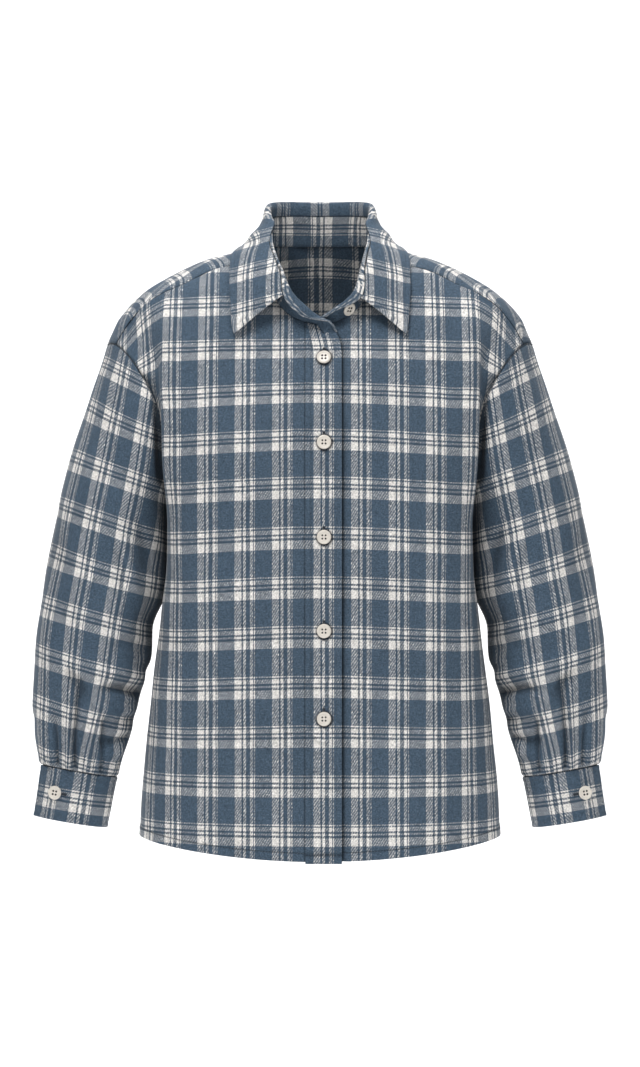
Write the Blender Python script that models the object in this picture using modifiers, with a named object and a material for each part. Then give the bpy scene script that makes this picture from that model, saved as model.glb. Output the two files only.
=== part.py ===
"""Overshirt, filled out and empty: hollow body, yoke, open collar, two sleeves with buttoned cuffs.

X to the wearer's left, the front faces -Y, Z up. The origin is the middle of the neck, level with the
shoulder seams where the shirt rests on its wearer.
"""

import math

import bpy
import numpy as np
from mathutils import Matrix, Vector

MM = 0.001

# Walls and gaps, in millimetres
CLOTH_WALL = 1.6
BAND_WALL = 2.2
SEAM_GAP = 0.3
SEAM_BEND = 0.55
LIFT = 0.4

# Front placket and buttons
PLACKET_LEFT = -16.0
PLACKET_RIGHT = 23.4
BUTTON_X = 4.2
BUTTON_DIAMETER = 15.2
BUTTON_THICKNESS = 3.0
BUTTON_HOLE = 1.9
BUTTON_HOLE_SPACING = 3.6
FRONT_BUTTON_HEIGHTS = (-115.2, -206.2, -306.7, -406.2, -499.3)

# Hem: a shallow shirt tail
HEM_MIDDLE = -651.0
HEM_RISE = 20.0
HEM_ROUND = 1.35

# Cuffs
CUFF_HEIGHT = 55.8
CUFF_HALF_WIDTH = 42.6
CUFF_HALF_DEPTH = 33.0
CUFF_TOP = (-263.8, -20.0, -561.9)
CUFF_AXIS = (-0.168, -0.03, -0.985)
CUFF_EDGE_ANGLE = 18.0
CUFF_LAP = 24.0
CUFF_BUTTON_ANGLE = 63.5

# The armhole, on the wearer's right: tip of the shoulder, underarm, how deep it is front and back
SHOULDER_TIP = (-234.0, 0.0, -95.0)
UNDERARM = (-163.5, 0.0, -262.0)
ARMHOLE_DEPTH = 78.0
YOKE_FRONT_ANGLE = 20.0
YOKE_BACK_ANGLE = -48.0
ARMHOLE_COLUMNS = ("angle", "front_scoop", "back_scoop")
ARMHOLE = (
    (0, 0.0, 0.0),
    (30, 13.5, 4.0),
    (60, 23.4, 8.0),
    (85, 27.0, 10.0),
    (105, 22.0, 9.0),
    (130, 11.5, 6.0),
    (155, 3.5, 2.0),
    (180, 0.0, 0.0),
)

# Level sections of the body below the arms
BODY_COLUMNS = ("height", "half_width", "front_depth", "back_depth", "front_square", "roll")
BODY = (
    (-262, 163.5, 119.5, 104.0, 4.5, 5.0),
    (-310, 165.0, 120.0, 102.0, 4.0, 4.0),
    (-350, 167.5, 120.0, 101.0, 3.6, 2.0),
    (-387, 172.3, 120.0, 102.0, 3.3, 0.5),
    (-431, 177.3, 119.5, 104.0, 3.0, 0.0),
    (-486, 184.0, 119.0, 107.0, 2.9, 0.0),
    (-541, 189.4, 119.0, 110.0, 2.8, 0.0),
    (-596, 194.4, 119.5, 113.0, 2.8, 0.0),
    (-660, 198.0, 120.0, 116.0, 2.8, 0.0),
)
BACK_SQUARE = 2.7
NECK_CORNER = -71.5

# The ridge of the shoulder from the neck out, and the chest's depth below it
RIDGE_COLUMNS = ("across", "height")
RIDGE = (
    (0, 75.0), (50, 44.5), (64, 27.0), (74, 13.5), (85, 9.0), (97, 5.5), (122, -1.2), (147, -11.0),
    (169, -21.5), (190, -33.5), (203, -44.0), (213, -55.5), (220, -66.5), (227, -79.0), (234, -95.0),
)
CHEST_RIDGE = (
    (0, 20.0), (50, 14.0), (74, 9.0), (85, 7.5), (97, 4.0), (122, -3.0), (150, -14.5), (180, -30.0),
)
CHEST_COLUMNS = ("below_ridge", "depth")
CHEST = (
    (0, 0.0), (6, 20.0), (14, 38.0), (30, 56.0), (50, 70.0), (75, 83.0), (105, 94.0), (140, 103.0),
    (180, 110.0), (220, 116.0), (262, 119.0), (300, 120.0),
)

# Seam of the yoke on the front: across, depth, height
YOKE_FRONT_COLUMNS = ("across", "depth", "height")
YOKE_FRONT = (
    (-NECK_CORNER, 31.0, -7.0), (97, 37.0, -10.5), (122, 41.0, -18.0), (150, 44.0, -32.0),
    (172, 46.0, -42.0), (190, 44.0, -53.5), (205, 39.5, -69.0), (216, 34.5, -84.0),
)
YOKE_BACK = (
    (0, 101.0, -92.0), (50, 101.0, -93.0), (100, 97.0, -97.0), (150, 87.0, -104.0), (190, 72.0, -112.0),
)

# The front's side, from the chest round the roll to the armhole, by how far down the armhole it is
SIDE_COLUMNS = (
    "down", "armhole_angle", "roll_x", "roll_y", "valley_x", "valley_y", "roll_drop", "valley_drop",
)
SIDE = (
    (0.00, 20.0, -166.0, -45.5, -192.0, -43.5, 8.0, 24.0),
    (0.20, 45.0, -168.5, -79.0, -186.0, -64.0, 7.0, 17.0),
    (0.35, 63.0, -168.5, -88.0, -176.0, -75.0, 5.0, 12.0),
    (0.50, 88.0, -168.5, -94.0, -171.5, -84.0, 4.0, 9.0),
    (0.75, 130.0, -168.0, -95.0, -168.5, -80.0, 2.0, 10.0),
    (1.00, 180.0, -167.0, -86.0, -165.4, -58.0, 0.0, 0.0),
)
FACE_EDGE = 146.0

# Neck seam, roll of the collar and outer edge of the leaf, from the front end to the centre back
COLLAR_COLUMNS = ("along", "neck", "roll", "stand_height", "leaf_edge", "turn", "radius")
COLLAR = (
    (0.00, (-4.0, -70.0, -77.0), (-1.5, -80.5, -71.5), 22.0, (-60.0, -87.0, -90.0), 205, 3.0),
    (0.08, (-14.0, -71.5, -74.5), (-15.5, -84.5, -61.5), 30.5, (-76.0, -92.0, -92.0), 205, 3.5),
    (0.17, (-29.0, -70.0, -68.5), (-32.0, -82.5, -44.0), 36.5, (-91.5, -93.0, -90.0), 198, 4.0),
    (0.25, (-40.0, -64.5, -59.0), (-40.5, -75.5, -26.0), 37.0, (-95.0, -80.5, -62.0), 194, 4.5),
    (0.35, (-54.0, -54.5, -38.0), (-48.5, -61.5, -5.0), 36.0, (-96.5, -62.5, -32.0), 188, 5.5),
    (0.45, (-65.0, -41.5, -17.0), (-54.0, -42.5, 14.0), 35.0, (-96.5, -32.0, -3.5), 182, 6.0),
    (0.55, (-72.5, -21.0, 4.0), (-56.0, -18.0, 35.5), 34.5, (-93.0, 6.0, 9.0), 176, 6.0),
    (0.65, (-74.5, 3.0, 13.5), (-58.0, 6.0, 51.5), 34.0, (-87.0, 40.0, 2.0), 164, 6.0),
    (0.75, (-69.0, 27.0, 15.5), (-55.5, 28.0, 61.0), 34.0, (-72.5, 65.5, 3.8), 146, 6.5),
    (0.85, (-52.0, 46.5, 17.0), (-44.0, 45.0, 65.0), 34.0, (-51.0, 79.0, 7.5), 126, 7.0),
    (0.93, (-28.0, 58.0, 18.0), (-25.0, 54.0, 66.0), 34.0, (-25.0, 84.0, 9.5), 107, 7.0),
    (1.00, (0.0, 62.0, 18.0), (0.0, 57.0, 66.0), 34.0, (0.0, 85.5, 10.0), 90, 7.0),
)
LEAF_START = 0.17
LEFT_ROLL_FALL = (-5.0, -1.5, -3.5)
LEFT_STAND_LESS = 9.0

# Sleeve sections below the armhole: centre, half width, half depth
SLEEVE_COLUMNS = ("x", "y", "z", "half_width", "half_depth")
SLEEVE = (
    (-229.0, 2.0, -286.0, 59.5, 72.0),
    (-233.5, 2.0, -320.0, 62.5, 71.0),
    (-238.5, 0.0, -365.0, 65.0, 69.0),
    (-244.8, -3.0, -398.0, 63.2, 66.0),
    (-250.2, -7.0, -431.0, 62.0, 62.0),
    (-256.2, -13.0, -486.0, 58.5, 55.0),
    (-260.2, -17.0, -519.0, 53.0, 49.0),
    (-262.6, -19.0, -545.0, 46.5, 41.0),
    (-263.7, -20.0, -561.6, 42.9, 33.6),
)
PLEATS_COLUMNS = ("angle", "width", "height")
PLEATS = ((36, 13, 3.2), (66, 15, 3.8), (104, 14, 3.0))

# Rows down the armhole of the front and the back, and round it on the yoke
ARMHOLE_ROWS = (8, 6, 5)
PLACKET_START = -77.0
BODY_MIDDLE = (0.0, 0.0, -250.0)
NECK_MIDDLE = (0.0, 0.0, 10.0)

COLOURS = {
    "cloth": (0.09, 0.125, 0.16, 1.0),
    "button": (0.70, 0.65, 0.57, 1.0),
}


def through(knots, values, at):
    """A smooth curve through the knots that never overshoots them."""
    knots = np.asarray(knots, float)
    values = np.asarray(values, float)
    step = np.diff(knots)
    slope = np.diff(values) / step
    tangent = np.empty(len(knots))
    tangent[0] = slope[0]
    tangent[-1] = slope[-1]
    together = slope[:-1] * slope[1:] > 0
    total = np.where(together, slope[:-1] + slope[1:], 1.0)
    tangent[1:-1] = np.where(together, 2 * slope[:-1] * slope[1:] / total, 0.0)
    at = np.clip(np.asarray(at, float), knots[0], knots[-1])
    i = np.clip(np.searchsorted(knots, at) - 1, 0, len(step) - 1)
    s = (at - knots[i]) / step[i]
    rise = (2 * s**3 - 3 * s**2 + 1) * values[i] + (3 * s**2 - 2 * s**3) * values[i + 1]
    return rise + step[i] * ((s**3 - 2 * s**2 + s) * tangent[i] + (s**3 - s**2) * tangent[i + 1])


def column(table, n, at):
    return through([row[0] for row in table], [row[n] for row in table], at)


def ease(low, high, at):
    s = np.clip((np.asarray(at, float) - low) / (high - low), 0, 1)
    return s * s * (3 - 2 * s)


def resample(points, shares):
    """Points at the given shares of a line's length."""
    points = np.asarray(points, float)
    length = np.concatenate([[0], np.cumsum(np.linalg.norm(np.diff(points, axis=0), axis=1))])
    at = np.asarray(shares) * length[-1]
    return np.stack([np.interp(at, length, points[:, k]) for k in range(3)], axis=1)


def spline(points, count=12):
    """A smooth line through a few points."""
    p = np.asarray(points, float)
    knots = np.concatenate([[0], np.cumsum(np.sqrt(np.linalg.norm(np.diff(p, axis=0), axis=1)) + 1e-9)])
    tangent = np.gradient(p, knots, axis=0)
    tangent[1:-1] = (p[2:] - p[:-2]) / (knots[2:] - knots[:-2])[:, None]
    line = []
    for i in range(len(p) - 1):
        h = knots[i + 1] - knots[i]
        for s in np.linspace(0, 1, count, endpoint=False):
            line.append(
                (2 * s**3 - 3 * s**2 + 1) * p[i] + (s**3 - 2 * s**2 + s) * h * tangent[i]
                + (3 * s**2 - 2 * s**3) * p[i + 1] + (s**3 - s**2) * h * tangent[i + 1]
            )
    return np.array(line + [p[-1]])


def armhole(angle):
    """A point of the armhole seam: 0 at the shoulder tip, 90 at the front, 180 under the arm."""
    angle = np.asarray(angle, float)
    turn = (angle + 180.0) % 360.0 - 180.0
    a = np.radians(angle)
    tip = np.array(SHOULDER_TIP)
    low = np.array(UNDERARM)
    centre = (tip + low) / 2
    half = np.linalg.norm(tip - low) / 2
    along = (tip - low) / (2 * half)
    inward = np.array([along[2], 0.0, -along[0]])
    scoop = np.where(turn >= 0, column(ARMHOLE, 1, np.abs(turn)), column(ARMHOLE, 2, np.abs(turn)))
    reach = ARMHOLE_DEPTH * np.sign(np.sin(a)) * np.abs(np.sin(a)) ** 0.9
    return (
        centre + half * np.cos(a)[..., None] * along + scoop[..., None] * inward
        - reach[..., None] * np.array([0.0, 1.0, 0.0])
    )


def body_section(turn, height):
    """A point of the body's level section: 0 at the front, 90 at the side, 180 at the back."""
    turn, height = np.broadcast_arrays(np.asarray(turn, float), np.asarray(height, float))
    level = -height
    table = [(-row[0],) + tuple(row[1:]) for row in BODY]
    a = np.radians(turn)
    s = np.abs(np.sin(a))
    c = np.abs(np.cos(a))
    front = turn <= 90
    square = np.where(front, column(table, 4, level), BACK_SQUARE)
    depth = np.where(front, -column(table, 2, level), column(table, 3, level))
    roll = np.where(front, column(table, 5, level) * 3.18 * s**2 * c**1.2, 0.0)
    across = -column(table, 1, level) * s ** (2 / square) - roll
    return np.stack([across, depth * c ** (2 / square), height], axis=-1)


def chest(x, z):
    """Depth of the chest's surface at a place on the front."""
    x = np.abs(np.asarray(x, float))
    z = np.asarray(z, float)
    below = column(CHEST_RIDGE, 1, x) - z
    hollow = 0.44 * np.clip((200 - below) / 144, 0, None) ** 1.5 * np.exp(-((x / 60) ** 2))
    upper = -column(CHEST, 1, below) * (1 - hollow)
    turns = np.linspace(0, 60, 40)
    rim = body_section(turns, BODY[0][0])
    lower = np.interp(x, -rim[:, 0], rim[:, 1])
    blend = ease(-160, -258, z)
    return upper * (1 - blend) + lower * blend


def shoulder(x, y):
    """Height of the yoke's surface."""
    x = np.abs(np.asarray(x, float))
    y = np.asarray(y, float)
    ridge = column(RIDGE, 1, x)
    back_y = column(YOKE_BACK, 1, x)
    back_z = column(YOKE_BACK, 2, x)
    front_y = column(YOKE_FRONT, 1, x)
    front_z = column(YOKE_FRONT, 2, x)
    behind = ridge - (ridge - back_z) * np.clip(y / back_y, 0, None) ** 2.2
    ahead = ridge - (ridge - front_z) * np.clip(-y / front_y, 0, None) ** 1.9
    return np.where(y > 0, behind, ahead)


def collar_values(along):
    along = np.atleast_1d(np.asarray(along, float))
    knots = [row[0] for row in COLLAR]
    part = lambda n: np.stack([through(knots, [row[n][k] for row in COLLAR], along) for k in range(3)], -1)
    flat = lambda n: through(knots, [row[n] for row in COLLAR], along)
    return part(1), part(2), flat(3), part(4), flat(5), flat(6)


def neck(along):
    return collar_values(along)[0]


def collar_line(along, left=False, count=48):
    """The collar's section from the neck seam over the roll to the leaf's edge."""
    base, roll, stand, edge, turn, radius = (value[0] for value in collar_values(along))
    if left:
        roll = roll + np.array(LEFT_ROLL_FALL) * math.exp(-(((along - 0.20) / 0.10) ** 2))
        stand -= LEFT_STAND_LESS * math.exp(-(((along - 0.05) / 0.09) ** 2))
    out = np.array([math.cos(math.radians(turn)), math.sin(math.radians(turn)), 0.0])
    rise = roll - base
    up = rise / np.linalg.norm(rise)
    steep = np.linalg.norm(rise)
    first = [base, base + up * steep * 0.4, roll - out * radius - up * radius * 0.4, roll]
    fall = edge - roll
    close = math.exp(-(((along - 0.60) / 0.13) ** 2))
    lift = np.array([0.0, 0.0, 3.0 - 5.0 * close])
    second = [roll, roll + out * radius * (1.6 - 0.3 * close), edge - fall * (0.30 + 0.2 * close) + lift, edge]
    line = []
    for bezier in (first, second):
        b = [np.asarray(p, float) for p in bezier]
        for s in np.linspace(0, 1, count // 2, endpoint=False):
            r = 1 - s
            line.append(r**3 * b[0] + 3 * s * r * r * b[1] + 3 * s * s * r * b[2] + s**3 * b[3])
    return np.array(line + [edge]), stand


def along_line(line, distances):
    length = np.concatenate([[0], np.cumsum(np.linalg.norm(np.diff(line, axis=0), axis=1))])
    return np.stack([np.interp(distances, length, line[:, k]) for k in range(3)], axis=1), length[-1]


def front_top():
    """Top edge of the front: along the neck, then along the yoke seam."""
    neck_part = neck(np.linspace(0.0, 0.45, 24))
    neck_part = neck_part[neck_part[:, 0] > -71.0]
    seam = [(-row[0], -row[1], row[2]) for row in YOKE_FRONT] + [tuple(armhole(YOKE_FRONT_ANGLE))]
    seam = spline(seam, 8)
    return np.concatenate([neck_part, seam])


def front_grid(face_columns, side_columns, upper_rows, lower_rows):
    """The right front as rows of points, from its inner edge to the side seam and armhole."""
    top = front_top()
    down = np.linspace(0, 1, upper_rows + 1)
    step = (PLACKET_LEFT - NECK_CORNER) / 3
    face_x = np.concatenate([
        np.linspace(NECK_CORNER + step * (face_columns - 4), NECK_CORNER, face_columns - 3),
        np.linspace(NECK_CORNER, -FACE_EDGE, 5)[1:],
    ])
    inner = face_x[0]
    top_z = np.interp(-face_x, -top[:, 0], top[:, 2])
    top_y = np.interp(-face_x, -top[:, 0], top[:, 1])
    shares = np.linspace(0, 1, side_columns + 1)[1:]
    rows = []
    for t in down:
        z = top_z + (BODY[0][0] - top_z) * t
        y = chest(face_x, z) + (top_y - chest(face_x, top_z)) * (1 - t) ** 3
        face = np.stack([face_x, y, z], axis=1)
        value = [float(column(SIDE, n, t)) for n in range(1, 8)]
        edge = armhole(value[0])
        r = face[-1]
        if t == 0:
            line = top[top[:, 0] <= -FACE_EDGE]
            line = np.concatenate([[r], line])
        else:
            roll = np.array([value[1], value[2], r[2] - value[5]])
            valley = np.array([value[3], value[4], r[2] - value[6]])
            line = spline([face[-2], r, roll, valley, edge], 16)[16:]
        rows.append(np.concatenate([face, resample(line, shares)]))
    # The level sections below keep the same share of columns on the face and on the side.
    heights = np.linspace(0, 1, lower_rows + 1)[1:]
    turns = np.linspace(0, 90, 181)
    for h in heights:
        z = BODY[0][0] + (HEM_MIDDLE - BODY[0][0]) * h
        dense = body_section(turns, np.full(len(turns), z))
        x = -dense[:, 0]
        length = np.concatenate([[0], np.cumsum(np.linalg.norm(np.diff(dense, axis=0), axis=1))])
        edge_x = FACE_EDGE + 16 * h
        reach = np.interp(edge_x, x, length)
        start = np.interp(-inner, x, length) if inner < 0 else -np.interp(inner, x, length)
        even = (face_x - face_x[0]) / (face_x[-1] - face_x[0])
        at = np.concatenate([
            start + (reach - start) * even,
            reach + (length[-1] - reach) * shares,
        ])
        turn = np.interp(np.abs(at), length, turns)
        point = body_section(turn, np.full(len(turn), z))
        point[:, 0] *= np.where(at < 0, -1, 1)
        rise = HEM_RISE * np.sin(np.radians(turn)) ** HEM_ROUND * h
        point[:, 2] += rise
        rows.append(point)
    return np.array(rows)


def back_grid(face_columns, side_columns, upper_rows, lower_rows):
    """The back's right half from the centre to the side, as rows of points."""
    face_x = np.linspace(0, -140.0, face_columns + 1)
    seam = [(-row[0], row[1], row[2]) for row in YOKE_BACK] + [tuple(armhole(YOKE_BACK_ANGLE))]
    seam = spline(seam, 10)
    seam_z = np.interp(-face_x, -seam[:, 0], seam[:, 2])
    seam_y = np.interp(-face_x, -seam[:, 0], seam[:, 1])
    shares = np.linspace(0, 1, side_columns + 1)[1:]
    rows = []
    turns = np.linspace(180, 90, 181)
    for t in np.linspace(0, 1, upper_rows + 1):
        z = seam_z + (BODY[0][0] - seam_z) * t
        depth = through([0, 0.3, 0.6, 1.0], [101.0, 106.5, 107.0, 104.0], t)
        dense = body_section(turns, np.full(181, BODY[0][0]))
        low = np.interp(-face_x, -dense[:, 0], dense[:, 1])
        y = depth * (seam_y / 101.0) * (1 - ease(0, 1, t)) + low * depth / 104.0 * ease(0, 1, t)
        face = np.stack([face_x, y, z], axis=1)
        r = face[-1]
        edge = armhole(YOKE_BACK_ANGLE + (-180 - YOKE_BACK_ANGLE) * t)
        if t == 0:
            line = np.concatenate([[r], seam[seam[:, 0] <= -140.0]])
        elif t == 1:
            line = dense[dense[:, 0] <= -140.0]
            line = np.concatenate([[r], line])
        else:
            swell = 5.0 * math.sin(math.pi * t)
            middle = r * 0.42 + edge * 0.58 + np.array([-7.0 * t, 9.0 * t + swell, 0.0])
            line = spline([face[-2], r, middle, edge], 16)[16:]
        rows.append(np.concatenate([face, resample(line, shares)]))
    for h in np.linspace(0, 1, lower_rows + 1)[1:]:
        z = BODY[0][0] + (HEM_MIDDLE - BODY[0][0]) * h
        dense = body_section(turns, np.full(len(turns), z))
        length = np.concatenate([[0], np.cumsum(np.linalg.norm(np.diff(dense, axis=0), axis=1))])
        reach = np.interp(140.0 + 14 * h, -dense[:, 0], length)
        at = np.concatenate([np.linspace(0, reach, face_columns + 1), reach + (length[-1] - reach) * shares])
        turn = np.interp(at, length, turns)
        point = body_section(turn, np.full(len(turn), z))
        point[:, 2] += HEM_RISE * np.sin(np.radians(turn)) ** HEM_ROUND * h
        point[:, 2] -= 4.0 * np.cos(np.radians(turn)) ** 2 * h
        rows.append(point)
    return np.array(rows)


def yoke_grid(neck_columns, front_row, back_row, rows_count):
    """The yoke's right half: rows from the neck and front seam to the back seam."""
    neck_part = neck(np.linspace(1.0, 0.0, 90))
    neck_part = neck_part[(neck_part[:, 0] > -75.5) & ((neck_part[:, 1] > -31.0))]
    front = front_row[front_row[:, 0] <= NECK_CORNER + 0.01]
    neck_part = np.concatenate([neck_part, front[:1]])
    top = np.concatenate([resample(neck_part, np.linspace(0, 1, neck_columns + 1)), front[1:]])
    bottom = back_row
    rows = []
    for b in np.linspace(0, 1, rows_count + 1):
        eased = 1 - (1 - b) ** 1.45
        x = top[:, 0] + (bottom[:, 0] - top[:, 0]) * b
        y = top[:, 1] + (bottom[:, 1] - top[:, 1]) * eased
        z = shoulder(x, y)
        z = z + (top[:, 2] - shoulder(top[:, 0], top[:, 1])) * (1 - b) ** 3
        z = z + (bottom[:, 2] - shoulder(bottom[:, 0], bottom[:, 1])) * b**3
        row = np.stack([x, y, z], axis=1)
        edge = armhole(YOKE_FRONT_ANGLE + (YOKE_BACK_ANGLE - YOKE_FRONT_ANGLE) * eased)
        pull = (np.arange(len(x)) / (len(x) - 1)) ** 7
        row = row + (edge - row[-1]) * pull[:, None]
        rows.append(row)
    return np.array(rows)


def sleeve_angles():
    """Where the sleeve's columns start, at the same points as the rows of the body and yoke."""
    front = column(SIDE, 1, np.linspace(0, 1, ARMHOLE_ROWS[0] + 1)) + 360
    back = 360 + YOKE_BACK_ANGLE - (180 + YOKE_BACK_ANGLE) * np.linspace(1, 0, ARMHOLE_ROWS[1] + 1)
    over = 360 + YOKE_FRONT_ANGLE + (YOKE_BACK_ANGLE - YOKE_FRONT_ANGLE) * yoke_shares(ARMHOLE_ROWS[2])
    return np.concatenate([back[:-1], over[::-1][:-1], front])


def yoke_shares(count):
    return 1 - (1 - np.linspace(0, 1, count + 1)) ** 1.45


def sleeve_grid(angles, cap_rows, rows_count):
    """The right sleeve as rings from the armhole to the cuff, each starting under the arm."""
    knots = np.arange(len(SLEEVE), dtype=float)
    value = lambda n, at: through(knots, [row[n] for row in SLEEVE], at)
    ring = armhole(angles)

    def section(at):
        centre = np.stack([value(k, at) for k in range(3)], -1)
        ahead = np.stack([value(k, min(at + 0.3, knots[-1])) for k in range(3)], -1)
        behind = np.stack([value(k, max(at - 0.3, 0.0)) for k in range(3)], -1)
        axis = (ahead - behind) / np.linalg.norm(ahead - behind)
        last = np.array(CUFF_AXIS) / np.linalg.norm(CUFF_AXIS)
        mix = float(ease(knots[-1] - 1.5, knots[-1], at))
        axis = axis * (1 - mix) + last * mix
        axis /= np.linalg.norm(axis)
        out = np.array([-1.0, 0.0, 0.0])
        out = out - axis * (out @ axis)
        out /= np.linalg.norm(out)
        depth = np.cross(axis, out)
        depth = depth if depth[1] < 0 else -depth
        a = np.radians(angles)
        width = float(value(3, at)) * np.cos(a)
        reach = float(value(4, at)) * np.sin(a)
        near = float(ease(knots[-1] - 3.2, knots[-1] - 0.6, at))
        swell = np.zeros(len(a))
        for angle, wide, high in PLEATS:
            off = (angles - angle + 180.0) % 360.0 - 180.0
            swell += high * near * np.exp(-((off / wide) ** 2))
            swell -= 0.45 * high * near * np.exp(-(((off - wide * 1.5) / wide) ** 2))
        fade = 1 - float(ease(knots[-1] - 0.45, knots[-1], at))
        wide_now = 1 + swell * fade / 48.0
        return centre + (width * wide_now)[:, None] * out + (reach * wide_now)[:, None] * depth, axis

    first, axis = section(0.0)
    outward = np.array([-0.9222, 0.0, -0.3867])
    down = np.array([-0.255, 0.0, -0.967])
    a = np.radians(angles)
    under = (0.5 - 0.5 * np.cos(a))[:, None]
    start = outward * (26 + 30 * np.abs(np.sin(a)))[:, None] * under + down * 110 * (1 - under)
    start = start + np.array([0.0, -1.0, 0.0]) * (14 * np.sin(a) * np.abs(np.sin(a)))[:, None]
    span = np.linalg.norm(first - ring, axis=1)[:, None]
    finish = axis * span * 0.9
    rows = []
    for s in np.linspace(0, 1, cap_rows + 1):
        rows.append(
            (2 * s**3 - 3 * s**2 + 1) * ring + (s**3 - 2 * s**2 + s) * start
            + (3 * s**2 - 2 * s**3) * first + (s**3 - s**2) * finish
        )
    for at in np.linspace(0, knots[-1], rows_count + 1)[1:]:
        rows.append(section(at)[0])
    return np.array(rows)


def cuff_grid(columns, rows_count):
    """The right cuff: a band whose outer end laps over the inner end."""
    angles = np.linspace(CUFF_EDGE_ANGLE, CUFF_EDGE_ANGLE + 360 + CUFF_LAP, columns + 1)
    axis = np.array(CUFF_AXIS) / np.linalg.norm(CUFF_AXIS)
    out = np.array([-1.0, 0.0, 0.0])
    out = out - axis * (out @ axis)
    out /= np.linalg.norm(out)
    depth = np.cross(axis, out)
    depth = depth if depth[1] < 0 else -depth
    a = np.radians(angles)
    inset = 3.1 * ease(270, 372, angles)
    rows = []
    for s in np.linspace(0, 1, rows_count + 1):
        centre = np.array(CUFF_TOP) + axis * CUFF_HEIGHT * s
        wide = CUFF_HALF_WIDTH - 1.2 * s - inset
        deep = CUFF_HALF_DEPTH - 0.6 * s - inset
        rows.append(centre + (wide * np.cos(a))[:, None] * out + (deep * np.sin(a))[:, None] * depth)
    return np.array(rows)


def collar_grids(stand_rows, leaf_rows, left):
    """The stand's and the leaf's halves as rows along the neck, in the right side's place."""
    stand, leaf = [], []
    starts = (0.0, 0.06, 0.12)
    side = np.array([-1.0 if left else 1.0, 1.0, 1.0])
    for q in starts + tuple(np.linspace(LEAF_START, 1, 12)):
        line, height = collar_line(q, left)
        points, total = along_line(line, np.linspace(1.7, height, stand_rows + 1))
        stand.append(sunk(points * side) * side if left else points)
        if q >= LEAF_START:
            leaf.append(along_line(line, np.linspace(height + SEAM_GAP, total, leaf_rows + 1))[0])
    return np.array(stand).transpose(1, 0, 2), np.array(leaf).transpose(1, 0, 2)


def sunk(grid):
    """The left edge's layers, set back where they pass under the placket."""
    g = grid.copy()
    near = g[..., 1] < -20
    g[..., 1] += (BAND_WALL + 1.6) * (1 - ease(PLACKET_RIGHT + 1, PLACKET_RIGHT + 11, g[..., 0])) * near
    return g


def mirrored(grid):
    return grid * np.array([-1.0, 1.0, 1.0])


def both_sides(half):
    """Rows that run from the centre out on one side, made into rows across both sides."""
    return np.concatenate([half[:, :0:-1], mirrored(half)], axis=1)


def trim(grid, edges, gap=SEAM_GAP / 2):
    """Draws chosen edges of a panel in by half a seam gap. Edges: t, b, l, r."""
    g = grid.copy()
    pairs = {"t": (0, 1, 0), "b": (-1, -2, 0), "l": (0, 1, 1), "r": (-1, -2, 1)}
    for edge in edges:
        i, j, axis = pairs[edge]
        a = np.take(g, i, axis=axis)
        b = np.take(g, j, axis=axis)
        d = b - a
        a = a + d / np.maximum(np.linalg.norm(d, axis=1, keepdims=True), 1e-9) * np.reshape(gap, (-1, 1))
        if axis == 0:
            g[i] = a
        else:
            g[:, i] = a
    return g


def material(slot):
    found = bpy.data.materials.get(slot)
    if found:
        return found
    made = bpy.data.materials.new(slot)
    made.use_nodes = True
    shader = made.node_tree.nodes["Principled BSDF"]
    kind = "button" if slot.startswith("button") else "cloth"
    shader.inputs["Base Color"].default_value = COLOURS[kind]
    shader.inputs["Roughness"].default_value = 0.4 if kind == "button" else 0.9
    return made


def place(obj, slot):
    collection.objects.link(obj)
    obj.data.materials.clear()
    obj.data.materials.append(material(slot))
    return obj


def cloth(name, grid, wall, middle, ring=False, inward=False):
    """A panel: the grid's faces, thickened away from the side that shows.

    That side faces away from middle, or towards it if inward is set; middle is the grid's own if not given.
    """
    rows, columns = grid.shape[:2]
    if ring:
        grid = grid[:, :-1]
        columns -= 1
    mesh = bpy.data.meshes.new(name)
    faces = []
    last = columns if ring else columns - 1
    for r in range(rows - 1):
        for c in range(last):
            d = (c + 1) % columns
            faces.append((r * columns + c, r * columns + d, (r + 1) * columns + d, (r + 1) * columns + c))
    mesh.from_pydata([tuple(p * MM) for p in grid.reshape(-1, 3)], [], faces)
    mesh.update()
    centre = Vector(grid.reshape(-1, 3).mean(axis=0) if middle is None else middle) * MM
    away = sum(face.normal.dot((face.center - centre).normalized()) * face.area for face in mesh.polygons)
    if (away < 0) != inward:
        mesh.flip_normals()
    obj = bpy.data.objects.new(name, mesh)
    place(obj, name)
    thick = obj.modifiers.new("Wall", "SOLIDIFY")
    thick.thickness = wall * MM
    thick.offset = -1.0
    thick.use_even_offset = False
    thick.use_quality_normals = True
    return obj


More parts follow.
